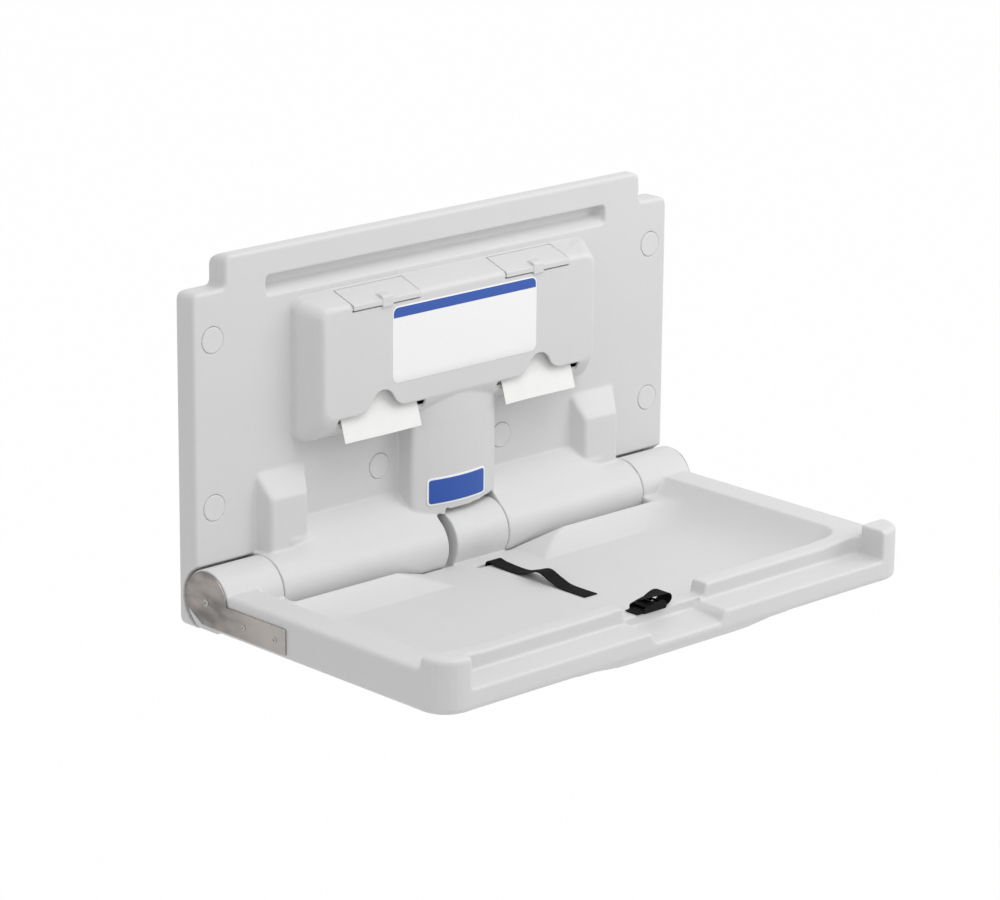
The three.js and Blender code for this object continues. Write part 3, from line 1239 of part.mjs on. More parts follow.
for (const [name, side] of BOTH_SIDES) {
  const ends = [side * (KNUCKLE_INNER + FIT), side * (BED_HALF - SHAFT_END_GAP)];
  place(`hinge_bush_${name}`, bush(Math.min(...ends), Math.max(...ends)), "bushing");
  place(`hinge_plate_${name}`, hingePlate(side), "steel");
  place(`pivot_screw_${name}`, sideScrew(
    side, PIVOT_SCREW_HEAD, PIVOT_SCREW_SHANK, PIVOT_SCREW_LENGTH, -AXIS_DEPTH, 0), "steel");
  for (const [where, ahead] of [["rear", PLATE_SCREW_REAR], ["front", PLATE_SCREW_FRONT]]) {
    place(`plate_screw_${name}_${where}`, sideScrew(side, PLATE_SCREW_HEAD, PLATE_SCREW_SHANK,
      PLATE_SCREW_LENGTH, aheadY(ahead), PLATE_SCREW_HEIGHT), "steel");
  }
  place(`lid_${name}`, lid(side * LID_CENTRE), "plastic");
  place(`lid_pin_${name}`, lidPin(side * LID_CENTRE), "steel");
  place(`liner_pack_${name}`, linerPack(side * OUTLET_CENTRE), "paper");
  place(`liner_sheet_${name}`, linerSheet(side * OUTLET_CENTRE), "paper");
}

export default station;
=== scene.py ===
# Baby changing station, open: the looks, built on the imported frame.
import json
import math

import bmesh
import bpy
import numpy as np
from mathutils import Matrix, Vector


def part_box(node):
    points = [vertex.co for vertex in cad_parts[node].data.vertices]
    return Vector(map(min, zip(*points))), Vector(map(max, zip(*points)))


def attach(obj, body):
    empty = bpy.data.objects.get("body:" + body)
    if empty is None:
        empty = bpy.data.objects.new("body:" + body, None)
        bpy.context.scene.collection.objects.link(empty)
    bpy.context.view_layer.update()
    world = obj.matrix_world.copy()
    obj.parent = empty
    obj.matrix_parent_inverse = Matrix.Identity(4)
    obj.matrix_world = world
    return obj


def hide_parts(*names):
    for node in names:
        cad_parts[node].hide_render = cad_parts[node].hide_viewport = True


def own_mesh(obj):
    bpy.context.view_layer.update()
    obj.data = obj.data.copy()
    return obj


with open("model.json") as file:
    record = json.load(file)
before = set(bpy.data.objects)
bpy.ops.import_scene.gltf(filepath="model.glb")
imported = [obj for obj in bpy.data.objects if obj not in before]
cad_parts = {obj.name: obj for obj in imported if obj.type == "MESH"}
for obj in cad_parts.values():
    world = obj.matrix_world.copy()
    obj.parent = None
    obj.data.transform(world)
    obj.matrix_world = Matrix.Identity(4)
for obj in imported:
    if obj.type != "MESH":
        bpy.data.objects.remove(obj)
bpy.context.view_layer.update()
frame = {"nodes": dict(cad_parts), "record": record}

MM = 0.001

# The photograph's view, in millimetres and degrees
CAMERA_PLACE = (-3669.8, -4039.1, 1738.4)
CAMERA_AZIMUTH = -43.4
CAMERA_ELEVATION = 16.57
CAMERA_ROLL = 0.55
CAMERA_LENS = 144.58

# Places on the frame, in millimetres
PANEL_FRONT = -37
BOX_FRONT = -82
BOX_TOP = 391
BOX_TOP_RUN = 3
BOX_BOTTOM = 186
BOX_CURL = 33
BOX_CURL_POWER = 2.6
COLUMN_CROWN = -79.75
COLUMN_FALL = 13.25
COLUMN_HALF = 74
HINGE_Y = -57
BARREL_RADIUS = 45
FLOOR_HEIGHT = -29
BEYOND = 460
SIDES = (("left", -1), ("right", 1))
SIGNS = (-1, 1)

# Screw caps: how far sideways and up
CAP_PLACES = [(x, z) for x in (-412, 412) for z in (122, 355)] + [(-116, 122), (116, 122)]
CAP_RADIUS = 18
CAP_ROOM = 26

# Sloped tops of the barrels, and where they run out into the plain round
SLOPE_TOP = 78
SLOPE_RUN = 49.9
SLOPE_FALL = 44.4
SLOPE_KEPT = 0.46
RUN_OUT_FROM = 257
RUN_OUT_TO = 297.5
RUN_OUT_ANGLE = 93.2
RUN_OUT_TURN = 38.4
RUN_OUT_STEPS = 12

# End knuckles
KNUCKLE_END = 343.7
KNUCKLE_GAP_RADIUS = 48.4
SOLE_START = 338
SOLE_HEIGHT = -40.6

# Dispenser lids
LID_CENTRE = 142
LID_HALF = 61
LID_GAP_INNER = 60.9
LID_GAP_OUTER = 62.5
LID_PIN = (-43, 385.6)
LID_PIN_ROOM = 1.6
LID_BARREL_RADIUS = 3.35
LID_CHANNEL_RADIUS = 4.3
PULL_HALF = 9.5
TAB_HALF = 20

# Steel side plates
PLATE_INNER_FACE = 442.8
PLATE_OUTER_FACE = 445
PLATE_HEAD_RADIUS = 43
PLATE_HEEL = 9
PLATE_ARM = 164
PLATE_TOP = 4
PLATE_BOTTOM = -32.5
PLATE_CORNER = 2.5
SCREW_SEAT = 445.3
SCREW_HEIGHT = -15.5

# Safety strap
STRAP_WIDTH = 25
STRAP_THICKNESS = 1.4
LONG_STRAP_X = 22
SHORT_STRAP_Y = -461
END_TWIST = 24

# Cam buckle
BUCKLE_HALF = 14.7
CHEEK_INNER = 13
BASE_HALF = 14.4
LEVER_HALF = 12.7
BUCKLE_PIN = (-10, 4.2)
CAM_RADIUS = 4.1
END_BAR = (8, 4)
END_BAR_RADIUS = 1.7

# Paper: sheets in a pack, and points down and across a hanging sheet
PACK_SHEETS = 22
SHEET_STEPS = 60

# Lamps: name, place and aim in metres, width in metres, power in watts
LAMPS = (
    ("top_lamp", (0.4, -1.6, 3.2), (0, -0.25, 0.1), 2.4, 45),
    ("side_lamp", (2.8, -2.4, 1.4), (0, -0.2, 0.1), 2.0, 30),
    ("fill_lamp", (-3.0, -1.6, 1.0), (0, -0.2, 0.1), 2.0, 5),
)
WORLD_LEVEL = 0.66
STUDIO_HALF = 8
STUDIO_FLOOR = -0.9


# Node trees


class Socket:
    """A node's output that takes part in sums."""

    def __init__(self, board, socket):
        self.board = board
        self.socket = socket

    def sum(self, operation, left, right=0):
        return self.board.node("ShaderNodeMath", {"operation": operation}, {0: left, 1: right})

    def __add__(self, other):
        return self.sum("ADD", self, other)

    def __radd__(self, other):
        return self.sum("ADD", other, self)

    def __sub__(self, other):
        return self.sum("SUBTRACT", self, other)

    def __mul__(self, other):
        return self.sum("MULTIPLY", self, other)

    def __mod__(self, other):
        return self.sum("FLOORED_MODULO", self, other)

    def __abs__(self):
        return self.sum("ABSOLUTE", self)


class Board:
    """A node tree, and the one method that adds a node to it."""

    def __init__(self, tree):
        self.tree = tree
        tree.nodes.clear()

    def node(self, kind, settings=None, sockets=None, output=0):
        made = self.tree.nodes.new(kind)
        for key, value in (settings or {}).items():
            if key == "stops":
                self.set_stops(made.color_ramp, value)
            else:
                setattr(made, key, value)
        for key, value in (sockets or {}).items():
            if isinstance(value, Socket):
                self.tree.links.new(value.socket, made.inputs[key])
            else:
                made.inputs[key].default_value = value
        return Socket(self, made.outputs[output]) if len(made.outputs) else made

    def set_stops(self, ramp, stops):
        while len(ramp.elements) < len(stops):
            ramp.elements.new(1)
        for element, (place, grey) in zip(ramp.elements, stops):
            element.position = place
            element.color = (grey, grey, grey, 1)


class Finish(Board):
    """A material's node tree with the nodes that every finish here uses."""

    def __init__(self, name):
        self.material = bpy.data.materials.new(name)
        self.material.use_nodes = True
        super().__init__(self.material.node_tree)

    def place(self, stretch=(1, 1, 1)):
        where = self.node("ShaderNodeTexCoord", output="Object")
        return self.node("ShaderNodeMapping", {}, {"Vector": where, "Scale": stretch})

    def noise(self, where, scale, detail=2, roughness=0.5):
        sockets = {"Vector": where, "Scale": scale, "Detail": detail, "Roughness": roughness}
        return self.node("ShaderNodeTexNoise", {}, sockets)

    def ramp(self, value, stops):
        return self.node("ShaderNodeValToRGB", {"stops": stops}, {"Fac": value})

    def mix(self, share, first, second):
        return self.node("ShaderNodeMix", {"data_type": "RGBA"}, {0: share, 6: first, 7: second}, 2)

    def bump(self, height, strength, distance):
        sockets = {"Height": height, "Strength": strength, "Distance": distance}
        return self.node("ShaderNodeBump", {}, sockets)

    def surface(self, sockets):
        shader = self.node("ShaderNodeBsdfPrincipled", {}, sockets)
        self.node("ShaderNodeOutputMaterial", {}, {"Surface": shader})
        return self.material


def tone(colour, share=1):
    return tuple(min(part * share, 1) for part in colour) + (1,)


# Finishes


def moulded_polyethylene(name, colour, roughness, grain):
    """Satin polyethylene with a fine spark-eroded grain, faint clouding and a few handling marks."""
    finish = Finish(name)
    where = finish.place()
    cloud = finish.noise(where, 6, 3)
    grain_fine = finish.noise(where, 1500, 2)
    grain_wide = finish.noise(where, 420, 3)
    rubbing = finish.noise(finish.place((2, 14, 14)), 9, 6, 0.7)
    marks = finish.ramp(rubbing, [(0.56, 0), (0.74, 1)])
    base = finish.mix(cloud, tone(colour, 0.975), tone(colour, 1.02))
    soiled = finish.mix(marks * 0.12, base, tone(colour, 0.9))
    return finish.surface({
        "Base Color": soiled,
        "Roughness": roughness + (grain_wide - 0.5) * 0.12 + marks * 0.06,
        "Normal": finish.bump(grain_fine * 0.55 + grain_wide * 0.45, grain, 0.0005),
        "IOR": 1.5,
    })


def brushed_steel(name, colour, stretch):
    """Stainless steel with straight brushing, close streaks and soft cloudy patches."""
    finish = Finish(name)
    streaks = finish.noise(finish.place(stretch), 60, 4, 0.65)
    patches = finish.noise(finish.place(), 14, 3)
    cloudy = finish.mix(patches, tone(colour, 0.72), tone(colour, 1.25))
    base = finish.mix(streaks * 0.5, cloudy, tone(colour, 1.1))
    return finish.surface({
        "Base Color": base,
        "Metallic": 1,
        "Roughness": 0.3 + streaks * 0.14 + patches * 0.1,
        "Normal": finish.bump(streaks, 0.12, 0.0002),
    })


def plate_steel(name, colour):
    """The side plates' satin steel: a painted reflection, darker round the hinge and lighter along the arm,
    with warm clouding and lengthwise polish.
    """
    finish = Finish(name)
    polish = finish.noise(finish.place((1, 0.06, 1)), 70, 4, 0.65)
    clouds = finish.noise(finish.place((1, 0.6, 1.3)), 26, 3, 0.55)
    ahead = finish.node("ShaderNodeSeparateXYZ", {}, {0: finish.place()}, 1)
    # Painted reflection: the colour runs darker near the hinge and lighter towards the arm's front end, set
    # by depth and broken up by the clouds.
    painted_reflection_ramp = finish.ramp(ahead * -4.5 - 0.15 + (clouds - 0.5) * 1.2, [(0, 0), (1, 1)])
    steel_with_painted_reflection = finish.mix(painted_reflection_ramp, tone(colour, 0.46), tone(colour, 1.2))
    warm = tone((colour[0] * 1.1, colour[1], colour[2] * 0.97))
    base = finish.mix(finish.ramp(clouds, [(0.4, 0), (0.75, 0.6)]), steel_with_painted_reflection, warm)
    return finish.surface({
        "Base Color": base,
        "Metallic": 1,
        "Roughness": 0.34 + polish * 0.12 + clouds * 0.12,
        "Normal": finish.bump(polish, 0.08, 0.0002),
    })


def black_plastic(name, colour, roughness):
    """Black glass-filled nylon: fine grain and worn, slightly greyer patches."""
    finish = Finish(name)
    where = finish.place()
    grain = finish.noise(where, 2600, 2)
    patches = finish.noise(where, 140, 4)
    worn = finish.ramp(patches, [(0.5, 0), (0.72, 1)])
    base = finish.mix(worn * 0.5, tone(colour), tone(colour, 2.4))
    return finish.surface({
        "Base Color": base,
        "Roughness": roughness + worn * 0.12,
        "Normal": finish.bump(grain, 0.2, 0.0003),
        "Specular IOR Level": 0.1,
    })


def tissue_paper(name, colour):
    """Soft two-ply paper: crepe lines, fibres and a faint mottle."""
    finish = Finish(name)
    crepe = finish.noise(finish.place((0.25, 1, 1)), 700, 3, 0.6)
    mottle = finish.noise(finish.place(), 45, 4)
    base = finish.mix(mottle, tone(colour, 0.965), tone(colour, 1.02))
    return finish.surface({
        "Base Color": base,
        "Roughness": 0.86 + crepe * 0.1,
        "Normal": finish.bump(crepe * 0.7 + mottle * 0.3, 0.25, 0.0004),
        "Specular IOR Level": 0.2,
    })


def woven_webbing(name, colour):
    """Black strap webbing: a herringbone of close yarns, read off the band's own map in metres."""
    finish = Finish(name)
    where = finish.node("ShaderNodeUVMap", {"uv_map": "band"})
    across = finish.node("ShaderNodeSeparateXYZ", {}, {0: where}, 0)
    along = finish.node("ShaderNodeSeparateXYZ", {}, {0: where}, 1)
    zigzag = abs((across * 320 + 100) % 2 - 1)
    pick = along.sum("SINE", (along * 620 + zigzag * 1.4) * math.tau)
    yarn = across.sum("SINE", across * (1250 * math.tau))
    weave = pick * 0.3 + yarn * 0.2 + 0.5
    fuzz = finish.noise(finish.place(), 900, 3)
    base = finish.mix(weave * 0.7 + fuzz * 0.3, tone(colour, 0.55), tone(colour, 1.7))
    return finish.surface({
        "Base Color": base,
        "Roughness": 0.7 + fuzz * 0.2,
        "Normal": finish.bump(weave, 0.5, 0.0004),
        "Specular IOR Level": 0.1,
    })


def printed_vinyl(name, colour, roughness):
    """Printed vinyl plate: an even ink film with a faint orange-peel and light scuffs."""
    finish = Finish(name)
    where = finish.place()
    peel = finish.noise(where, 520, 2)
    scuffs = finish.ramp(finish.noise(finish.place((1, 6, 9)), 24, 5, 0.7), [(0.58, 0), (0.75, 1)])
    base = finish.mix(scuffs * 0.15, tone(colour), tone(colour, 0.88))
    return finish.surface({
        "Base Color": base,
        "Roughness": roughness + scuffs * 0.15,
        "Normal": finish.bump(peel, 0.06, 0.0003),
    })


PALE_GREY = (0.66, 0.66, 0.66)
CAP_GREY = (0.68, 0.68, 0.68)
STEEL_GREY = (0.4, 0.385, 0.37)
PAPER_WHITE = (0.86, 0.86, 0.85)
TUBE_BLACK = (0.06, 0.06, 0.064)
BUSH_BLACK = (0.03, 0.03, 0.033)
WEBBING_BLACK = (0.008, 0.008, 0.0085)
THREAD_BLACK = (0.01, 0.01, 0.0105)
NYLON_BLACK = (0.006, 0.006, 0.0065)
LABEL_WHITE = (0.9, 0.9, 0.9)
LABEL_BLUE = (0.02, 0.085, 0.4)

FINISH = {
    "moulding": moulded_polyethylene("pale_polyethylene", PALE_GREY, 0.46, 0.16),
    "cap": moulded_polyethylene("cap_polyethylene", CAP_GREY, 0.42, 0.1),
    "steel": brushed_steel("brushed_steel", STEEL_GREY, (1, 0.05, 1)),
    "dark_steel": black_plastic("black_painted_tube", TUBE_BLACK, 0.35),
    "bushing": black_plastic("bearing_plastic", BUSH_BLACK, 0.5),
    "paper": tissue_paper("tissue_paper", PAPER_WHITE),
    "webbing": woven_webbing("black_webbing", WEBBING_BLACK),
    "buckle": black_plastic("black_nylon", NYLON_BLACK, 0.4),
}
PLATE_STEEL = plate_steel("plate_steel", STEEL_GREY)
THREAD = black_plastic("black_thread", THREAD_BLACK, 0.7)
WHITE_VINYL = printed_vinyl("white_vinyl", LABEL_WHITE, 0.4)
BLUE_VINYL = printed_vinyl("blue_vinyl", LABEL_BLUE, 0.45)


# Outlines


def arc(centre, radius, start, sweep, steps):
    """Points along an arc, with its start and sweep in degrees."""
    turns = [math.radians(start + sweep * k / steps) for k in range(steps + 1)]
    return [(centre[0] + radius * math.cos(a), centre[1] + radius * math.sin(a)) for a in turns]


def circle(centre, radius, steps):
    return arc(centre, radius, 0, 360, steps)[:-1]


def rectangle(x0, x1, z0, z1):
    return [(x0, z0), (x1, z0), (x1, z1), (x0, z1)]


def rounded_outline(x0, x1, z0, z1, rounds):
    """Outline points; rounds are the radii at the low left, low right, high right and high left."""
    outline = []
    for (x, z), radius, start in zip(rectangle(x0, x1, z0, z1), rounds, (180, 270, 0, 90)):
        centre = (x + radius if x == x0 else x - radius, z + radius if z == z0 else z - radius)
        outline += arc(centre, radius, start, 90, 8)
    return outline


# Meshes and pieces

STOOD_FOR = set()


def loose(name, mesh):
    """An object that a modifier works on, before its result becomes a piece."""
    work = bpy.data.objects.new(name, mesh)
    bpy.context.scene.collection.objects.link(work)
    return work


def taken(work):
    """The object's mesh with its modifiers done; the object goes."""
    graph = bpy.context.evaluated_depsgraph_get()
    mesh = bpy.data.meshes.new_from_object(work.evaluated_get(graph))
    bpy.data.objects.remove(work)
    return mesh


def finished(name, mesh, body, slot, stands_for=(), finish=None):
    """A piece riding on its body; a mesh without a finish takes the one given, or else its slot's."""
    if not mesh.materials:
        mesh.materials.append(finish or FINISH[slot])
    piece = loose(name, mesh)
    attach(piece, body)
    if stands_for:
        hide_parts(*stands_for)
        STOOD_FOR.update(stands_for)
    return piece


def merged(node):
    """A copy of a CAD node's mesh with its loose triangles joined."""
    form = bmesh.new()
    form.from_mesh(frame["nodes"][node].data)
    bmesh.ops.remove_doubles(form, verts=form.verts, dist=0.02 * MM)
    mesh = bpy.data.meshes.new(node + "_joined")
    form.to_mesh(mesh)
    form.free()
    return mesh


def skin(name, rows, ring=True, caps=False):
    """A mesh over rows of points in millimetres."""
    count = len(rows[0])
    points = [Vector(point) * MM for row in rows for point in row]
    faces = []
    for level in range(len(rows) - 1):
        for k in range(count if ring else count - 1):
            a = level * count + k
            b = level * count + (k + 1) % count
            faces.append((a, b, b + count, a + count))
    if caps:
        faces.append(tuple(reversed(range(count))))
        last = (len(rows) - 1) * count
        faces.append(tuple(range(last, last + count)))
    mesh = bpy.data.meshes.new(name)
    mesh.from_pydata(points, [], faces)
    mesh.shade_smooth()
    return mesh


def outward_faces(mesh):
    """Joins doubled points and turns the faces of a closed mesh outwards."""
    form = bmesh.new()
    form.from_mesh(mesh)
    bmesh.ops.remove_doubles(form, verts=form.verts, dist=1e-6)
    bmesh.ops.recalc_face_normals(form, faces=form.faces)
    form.to_mesh(mesh)
    form.free()
    return mesh


def solid(name, rows):
    """A closed form over rings of points in millimetres."""
    return outward_faces(skin(name, rows, caps=True))


def joined(meshes):
    """Several meshes as one."""
    form = bmesh.new()
    for mesh in meshes:
        form.from_mesh(mesh)
    mesh = bpy.data.meshes.new(meshes[0].name + "_set")
    form.to_mesh(mesh)
    form.free()
    return mesh


# Moulded plastic: the frame's bodies with the soft, rounded edges of a moulding


def bar(name, along, start, end, outline):
    """A closed bar over a flat outline, along axis 0, 1 or 2 from start to end, in millimetres."""
    rows = []
    for place in (start, end):
        rows.append([point[:along] + (place,) + point[along:] for point in outline])
    return solid(name, rows)


def carved(mesh, cutters):
    """The mesh less the cutters."""
    work = loose("carved", mesh)
    tools = [loose(cutter.name, cutter) for cutter in cutters]
    for tool in tools:
        cut = work.modifiers.new("cut", "BOOLEAN")
        cut.object = tool
        cut.solver = "EXACT"
    result = taken(work)
    for tool in tools:
        bpy.data.objects.remove(tool)
    return result


def inside(points, boxes):
    """Which points lie in any of the boxes."""
    held = np.zeros(len(points), bool)
    for low, high in boxes:
        held |= np.all((points > low) & (points < high), axis=1)
    return held


def places_of(mesh):
    """The mesh's points in millimetres."""
    points = np.empty(len(mesh.vertices) * 3)
    mesh.vertices.foreach_get("co", points)
    return points.reshape(-1, 3) / MM


def moulded(name, mesh, voxel, ease, rounding=0, crisp=(), flows=(), flowing=0, most=180000):
    """An even skin over closed forms: eased all over, rounded outside crisp boxes, flowing in some."""
    work = loose(name + "_skin", mesh)
    remesh = work.modifiers.new("even_skin", "REMESH")
    remesh.mode = "VOXEL"
    remesh.voxel_size = voxel * MM * 1
    mesh = taken(work)
    points = places_of(mesh)
    work = loose(name + "_eased", mesh)
    soft = np.flatnonzero(~inside(points, crisp))
    work.vertex_groups.new(name="soft").add(soft.tolist(), 1, "REPLACE")
    flow = np.flatnonzero(inside(points, flows))
    work.vertex_groups.new(name="flow").add(flow.tolist(), 1, "REPLACE")
    for label, group, turns in (("ease", "", ease), ("round", "soft", rounding), ("flow", "flow", flowing)):
        if turns:
            smooth = work.modifiers.new(label, "SMOOTH")
            smooth.iterations = turns
            smooth.vertex_group = group
    thin = work.modifiers.new("thin_out", "DECIMATE")
    thin.ratio = min(1, most / (2 * len(mesh.polygons)))
    result = taken(work)
    result.shade_smooth()
    return result


def both_sides(centre, half, low, high):
    """A box on each side of the middle; low and high are its depths and heights."""
    return [((sign * centre - half, *low), (sign * centre + half, *high)) for sign in SIGNS]


def slope_line(share):
    """A point on the barrels' sloped top, from the panel's face down to the round."""
    return (PANEL_FRONT - SLOPE_RUN * share, SLOPE_TOP - SLOPE_FALL * share)


def slope_end(side):
    """Cutter that runs the barrel's sloped top out into the plain round in front of a buttress block."""
    above, below = 1, 0.04
    steps = RUN_OUT_STEPS
    line = [slope_line(SLOPE_KEPT + (1 - SLOPE_KEPT) * k / steps) for k in range(steps + 1)]
    over = [(y - above, z + above) for y, z in reversed(line)]
    start = [(y + below, z - below) for y, z in line]
    end = arc((HINGE_Y, 0), BARREL_RADIUS, RUN_OUT_ANGLE, RUN_OUT_TURN, steps)
    rows = []
    for x, under in ((RUN_OUT_FROM, start), (RUN_OUT_TO, end)):
        rows.append([(side * x, y, z) for y, z in under + over])
    return solid("slope_end", rows)


def knuckle_gap(side):
    """Cutter for the open gap between an end knuckle and the panel over it."""
    ring = circle((HINGE_Y, 0), KNUCKLE_GAP_RADIUS, 96)
    return bar("knuckle_gap", 0, side * KNUCKLE_END, side * BEYOND, ring)


def knuckle_sole(side):
    """Cutter for the flat underside of an end knuckle, level with the bed's."""
    outline = rectangle(-115, 4, -80, SOLE_HEIGHT)
    return bar("knuckle_sole", 0, side * SOLE_START, side * BEYOND, outline)


def slot_mouth():
    """Cutter for the wider mouth of the long strap's slot in the tray floor."""
    outline = rounded_outline(-8, 38, -126.2, -117.4, (4.3, 4.3, 4.3, 4.3))
    return bar("slot_mouth", 2, FLOOR_HEIGHT - 8.5, FLOOR_HEIGHT + 20, outline)


def slot_plug():
    """Fills the short strap's slot, which the band covers."""
    return bar("slot_plug", 2, -24, -4, rectangle(15.5, 20.5, -470.6, -448.4))


def box_top(depth):
    """Height of the dispenser's sloping top at a depth."""
    return BOX_TOP - (depth + PANEL_FRONT) / BOX_TOP_RUN


def box_bottom(depth):
    """Height of the dispenser's curled underside at a depth."""
    share = max(0, depth + PANEL_FRONT) / (PANEL_FRONT - BOX_FRONT)
    return BOX_BOTTOM + BOX_CURL * share ** BOX_CURL_POWER


def column_face(x):
    """Depth of the column's crowned face at a distance from its middle."""
    return COLUMN_CROWN + COLUMN_FALL * (x / COLUMN_HALF) ** 2


def lid_bar(name, centre, half, radius):
    """A round bar about the axis of a lid's hinge pin."""
    return bar(name, 0, centre - half, centre + half, circle(LID_PIN, radius, 32))


def lid_gaps(centre):
    """Cutters for a lid's hinge channel and the shadow gaps beside it and under its lip."""
    rear, front, under, over = 41, 88, 5, 9
    side_cut = [(-rear, box_top(rear) - under), (-rear, box_top(rear) + over),
                (-front, box_top(front) + over), (-front, box_top(front) - under)]
    lip_cut = rectangle(-84, -76, 366.1, 368.2)
    gaps = [lid_bar("lid_channel", centre, LID_GAP_OUTER, LID_CHANNEL_RADIUS)]
    for name, inner, outline in (("lid_side_gap", LID_GAP_INNER, side_cut), ("lid_front_gap", 9, lip_cut)):
        for sign in SIGNS:
            gaps.append(bar(name, 0, centre + sign * inner, centre + sign * LID_GAP_OUTER, outline))
    return gaps


def lid_form(side, centre):
    """The lid with a full hinge barrel, and a narrow, raised finger pull in place of its wide tab."""
    top = [(-71, box_top(71) + 0.05), (-86, box_top(86) + 0.05), (-86, 400), (-71, 400)]
    front = rectangle(-86, -83.72, 360, 390)
    trims = []
    for sign in SIGNS:
        ends = (centre + sign * PULL_HALF, centre + sign * TAB_HALF)
        trims += [bar("lid_trim", 0, *ends, outline) for outline in (top, front)]
    pull = [(-66, box_top(66) - 1.6), (-66, box_top(66) - 0.2), (-77, box_top(77) + 3.8),
            (-82.5, box_top(82) + 4.2), (-84.4, box_top(82) + 2.6), (-84.7, 364.6), (-82.5, 364.6),
            (-82.5, box_top(82) - 1.8)]
    handle = bar("lid_pull", 0, centre - PULL_HALF, centre + PULL_HALF, pull)
    pin_room = lid_bar("lid_pin_room", centre, LID_HALF + 9, LID_PIN_ROOM)
    barrel = carved(lid_bar("lid_barrel", centre, LID_HALF, LID_BARREL_RADIUS), [pin_room])
    return joined([carved(merged("lid_" + side), trims), handle, barrel])


def column_top():
    """The column's head as part of the dispenser's wall, so that the two flow into each other."""
    flank = [(-83, -31), (-80.6, -58), (-79.2, -63)]
    face = [(x, column_face(x)) for x in range(-COLUMN_HALF, COLUMN_HALF + 1, 4)]
    outline = flank + face + [(-x, y) for x, y in reversed(flank)]
    rows = []
    for z, grow in ((150, -0.9), (182, 0.1)):
        rows.append([(x * (1 + grow / 80), y - grow, z) for x, y in outline])
    rows.append([(x, y, box_bottom(-y) + 3) for x, y, _ in rows[-1]])
    return solid("column_top", rows)


def panel_moulding():
    crisp = [((x - CAP_ROOM, -50, z - CAP_ROOM), (x + CAP_ROOM, -18, z + CAP_ROOM)) for x, z in CAP_PLACES]
    hinge_zone = ((-BEYOND, -130, -60), (BEYOND, -38, 52))
    block_feet = both_sides(295.5, 49.5, (-96, 30), (-56, 66))
    column = ((-76, -96, 52), (76, -60, 205))
    cutters = [cutter(sign) for cutter in (slope_end, knuckle_gap) for sign in SIGNS]
    form = carved(merged("wall_panel"), cutters)
    panel = moulded(
        "wall_panel", form, voxel=1.6, ease=2, rounding=4, crisp=crisp + [hinge_zone],
        flows=block_feet + [column], flowing=16)
    finished("wall_panel_moulding", panel, "wall_unit", "moulding", ["wall_panel"])


def dispenser_moulding():
    """The dispenser's cover, with its rear edge let into the panel."""
    lid_seats = both_sides(LID_CENTRE, 72, (-90, 360), (-30, 400))
    outlets = both_sides(152, 88, (-90, 190), (-60, 256))
    rear_edge = ((-300, -46, 150), (300, -20, 420))
    let_in = 5
    form = carved(merged("dispenser_cover"), lid_gaps(-LID_CENTRE) + lid_gaps(LID_CENTRE))
    for vertex in form.vertices:
        if vertex.co.y > (PANEL_FRONT - 1) * MM:
            vertex.co.y = (PANEL_FRONT + let_in) * MM
    form = joined([form, column_top()])
    crisp = lid_seats + outlets + [rear_edge]
    cover = moulded("dispenser", form, voxel=0.9, ease=3, rounding=14, crisp=crisp)
    finished("dispenser_moulding", cover, "wall_unit", "moulding", ["dispenser_cover"])


def bed_moulding():
    knuckles = ((-BEYOND, -106, -60), (BEYOND, 0, 60))
    long_slot = ((-22, -136, -40), (44, -108, -10))
    rim_notch = ((-90, -480, -60), (90, -440, 40))
    hollow = ((-398, -443, -27.5), (398, -128, 13))
    cutters = [slot_mouth(), knuckle_sole(-1), knuckle_sole(1)]
    form = joined([carved(merged("bed_tray"), cutters), slot_plug()])
    crisp = [knuckles, long_slot, rim_notch]
    bed = moulded("bed", form, voxel=1.6, ease=3, rounding=14, crisp=crisp, flows=[hollow], flowing=24)
    finished("bed_moulding", bed, "bed", "moulding", ["bed_tray"])


def lid_mouldings():
    for side, sign in SIDES:
        node = "lid_" + side
        lid = moulded(node, lid_form(side, sign * LID_CENTRE), voxel=0.5, ease=2, most=70000)
        finished(node + "_moulding", lid, side + "_lid", "moulding", [node])


# Geometry Nodes: trees that set out what repeats


def tree_of(name, inputs):
    """A geometry tree with its named inputs, its board and its group input node."""
    tree = bpy.data.node_groups.new(name, "GeometryNodeTree")
    board = Board(tree)
    for label, kind in {"Geometry": "Geometry", **inputs}.items():
        tree.interface.new_socket(label, in_out="INPUT", socket_type="NodeSocket" + kind)
    tree.interface.new_socket("Geometry", in_out="OUTPUT", socket_type="NodeSocketGeometry")
    entry = tree.nodes.new("NodeGroupInput")
    return board, {socket.name: Socket(board, socket) for socket in entry.outputs if socket.name}


def tree_end(board, geometry, finish):
    """Realizes the instances and gives them their finish, as the last two steps of a tree."""
    real = board.node("GeometryNodeRealizeInstances", {}, {0: geometry})
    coated = board.node("GeometryNodeSetMaterial", {}, {"Geometry": real, "Material": finish})
    board.node("NodeGroupOutput", {}, {0: coated})
    return board.tree


def set_out_tree():
    """One form on every point, turned by the point's own attribute."""
    board, given = tree_of("set_out", {"Form": "Object", "Finish": "Material"})
    form = board.node("GeometryNodeObjectInfo", {}, {"Object": given["Form"]}, "Geometry")
    turn = board.node(
        "GeometryNodeInputNamedAttribute", {"data_type": "FLOAT_VECTOR"}, {"Name": "turn"}, "Attribute")
    rotation = board.node("FunctionNodeEulerToRotation", {}, {0: turn})
    many = board.node("GeometryNodeInstanceOnPoints", {}, {
        "Points": given["Geometry"], "Instance": form, "Rotation": rotation})
    return tree_end(board, many, given["Finish"])


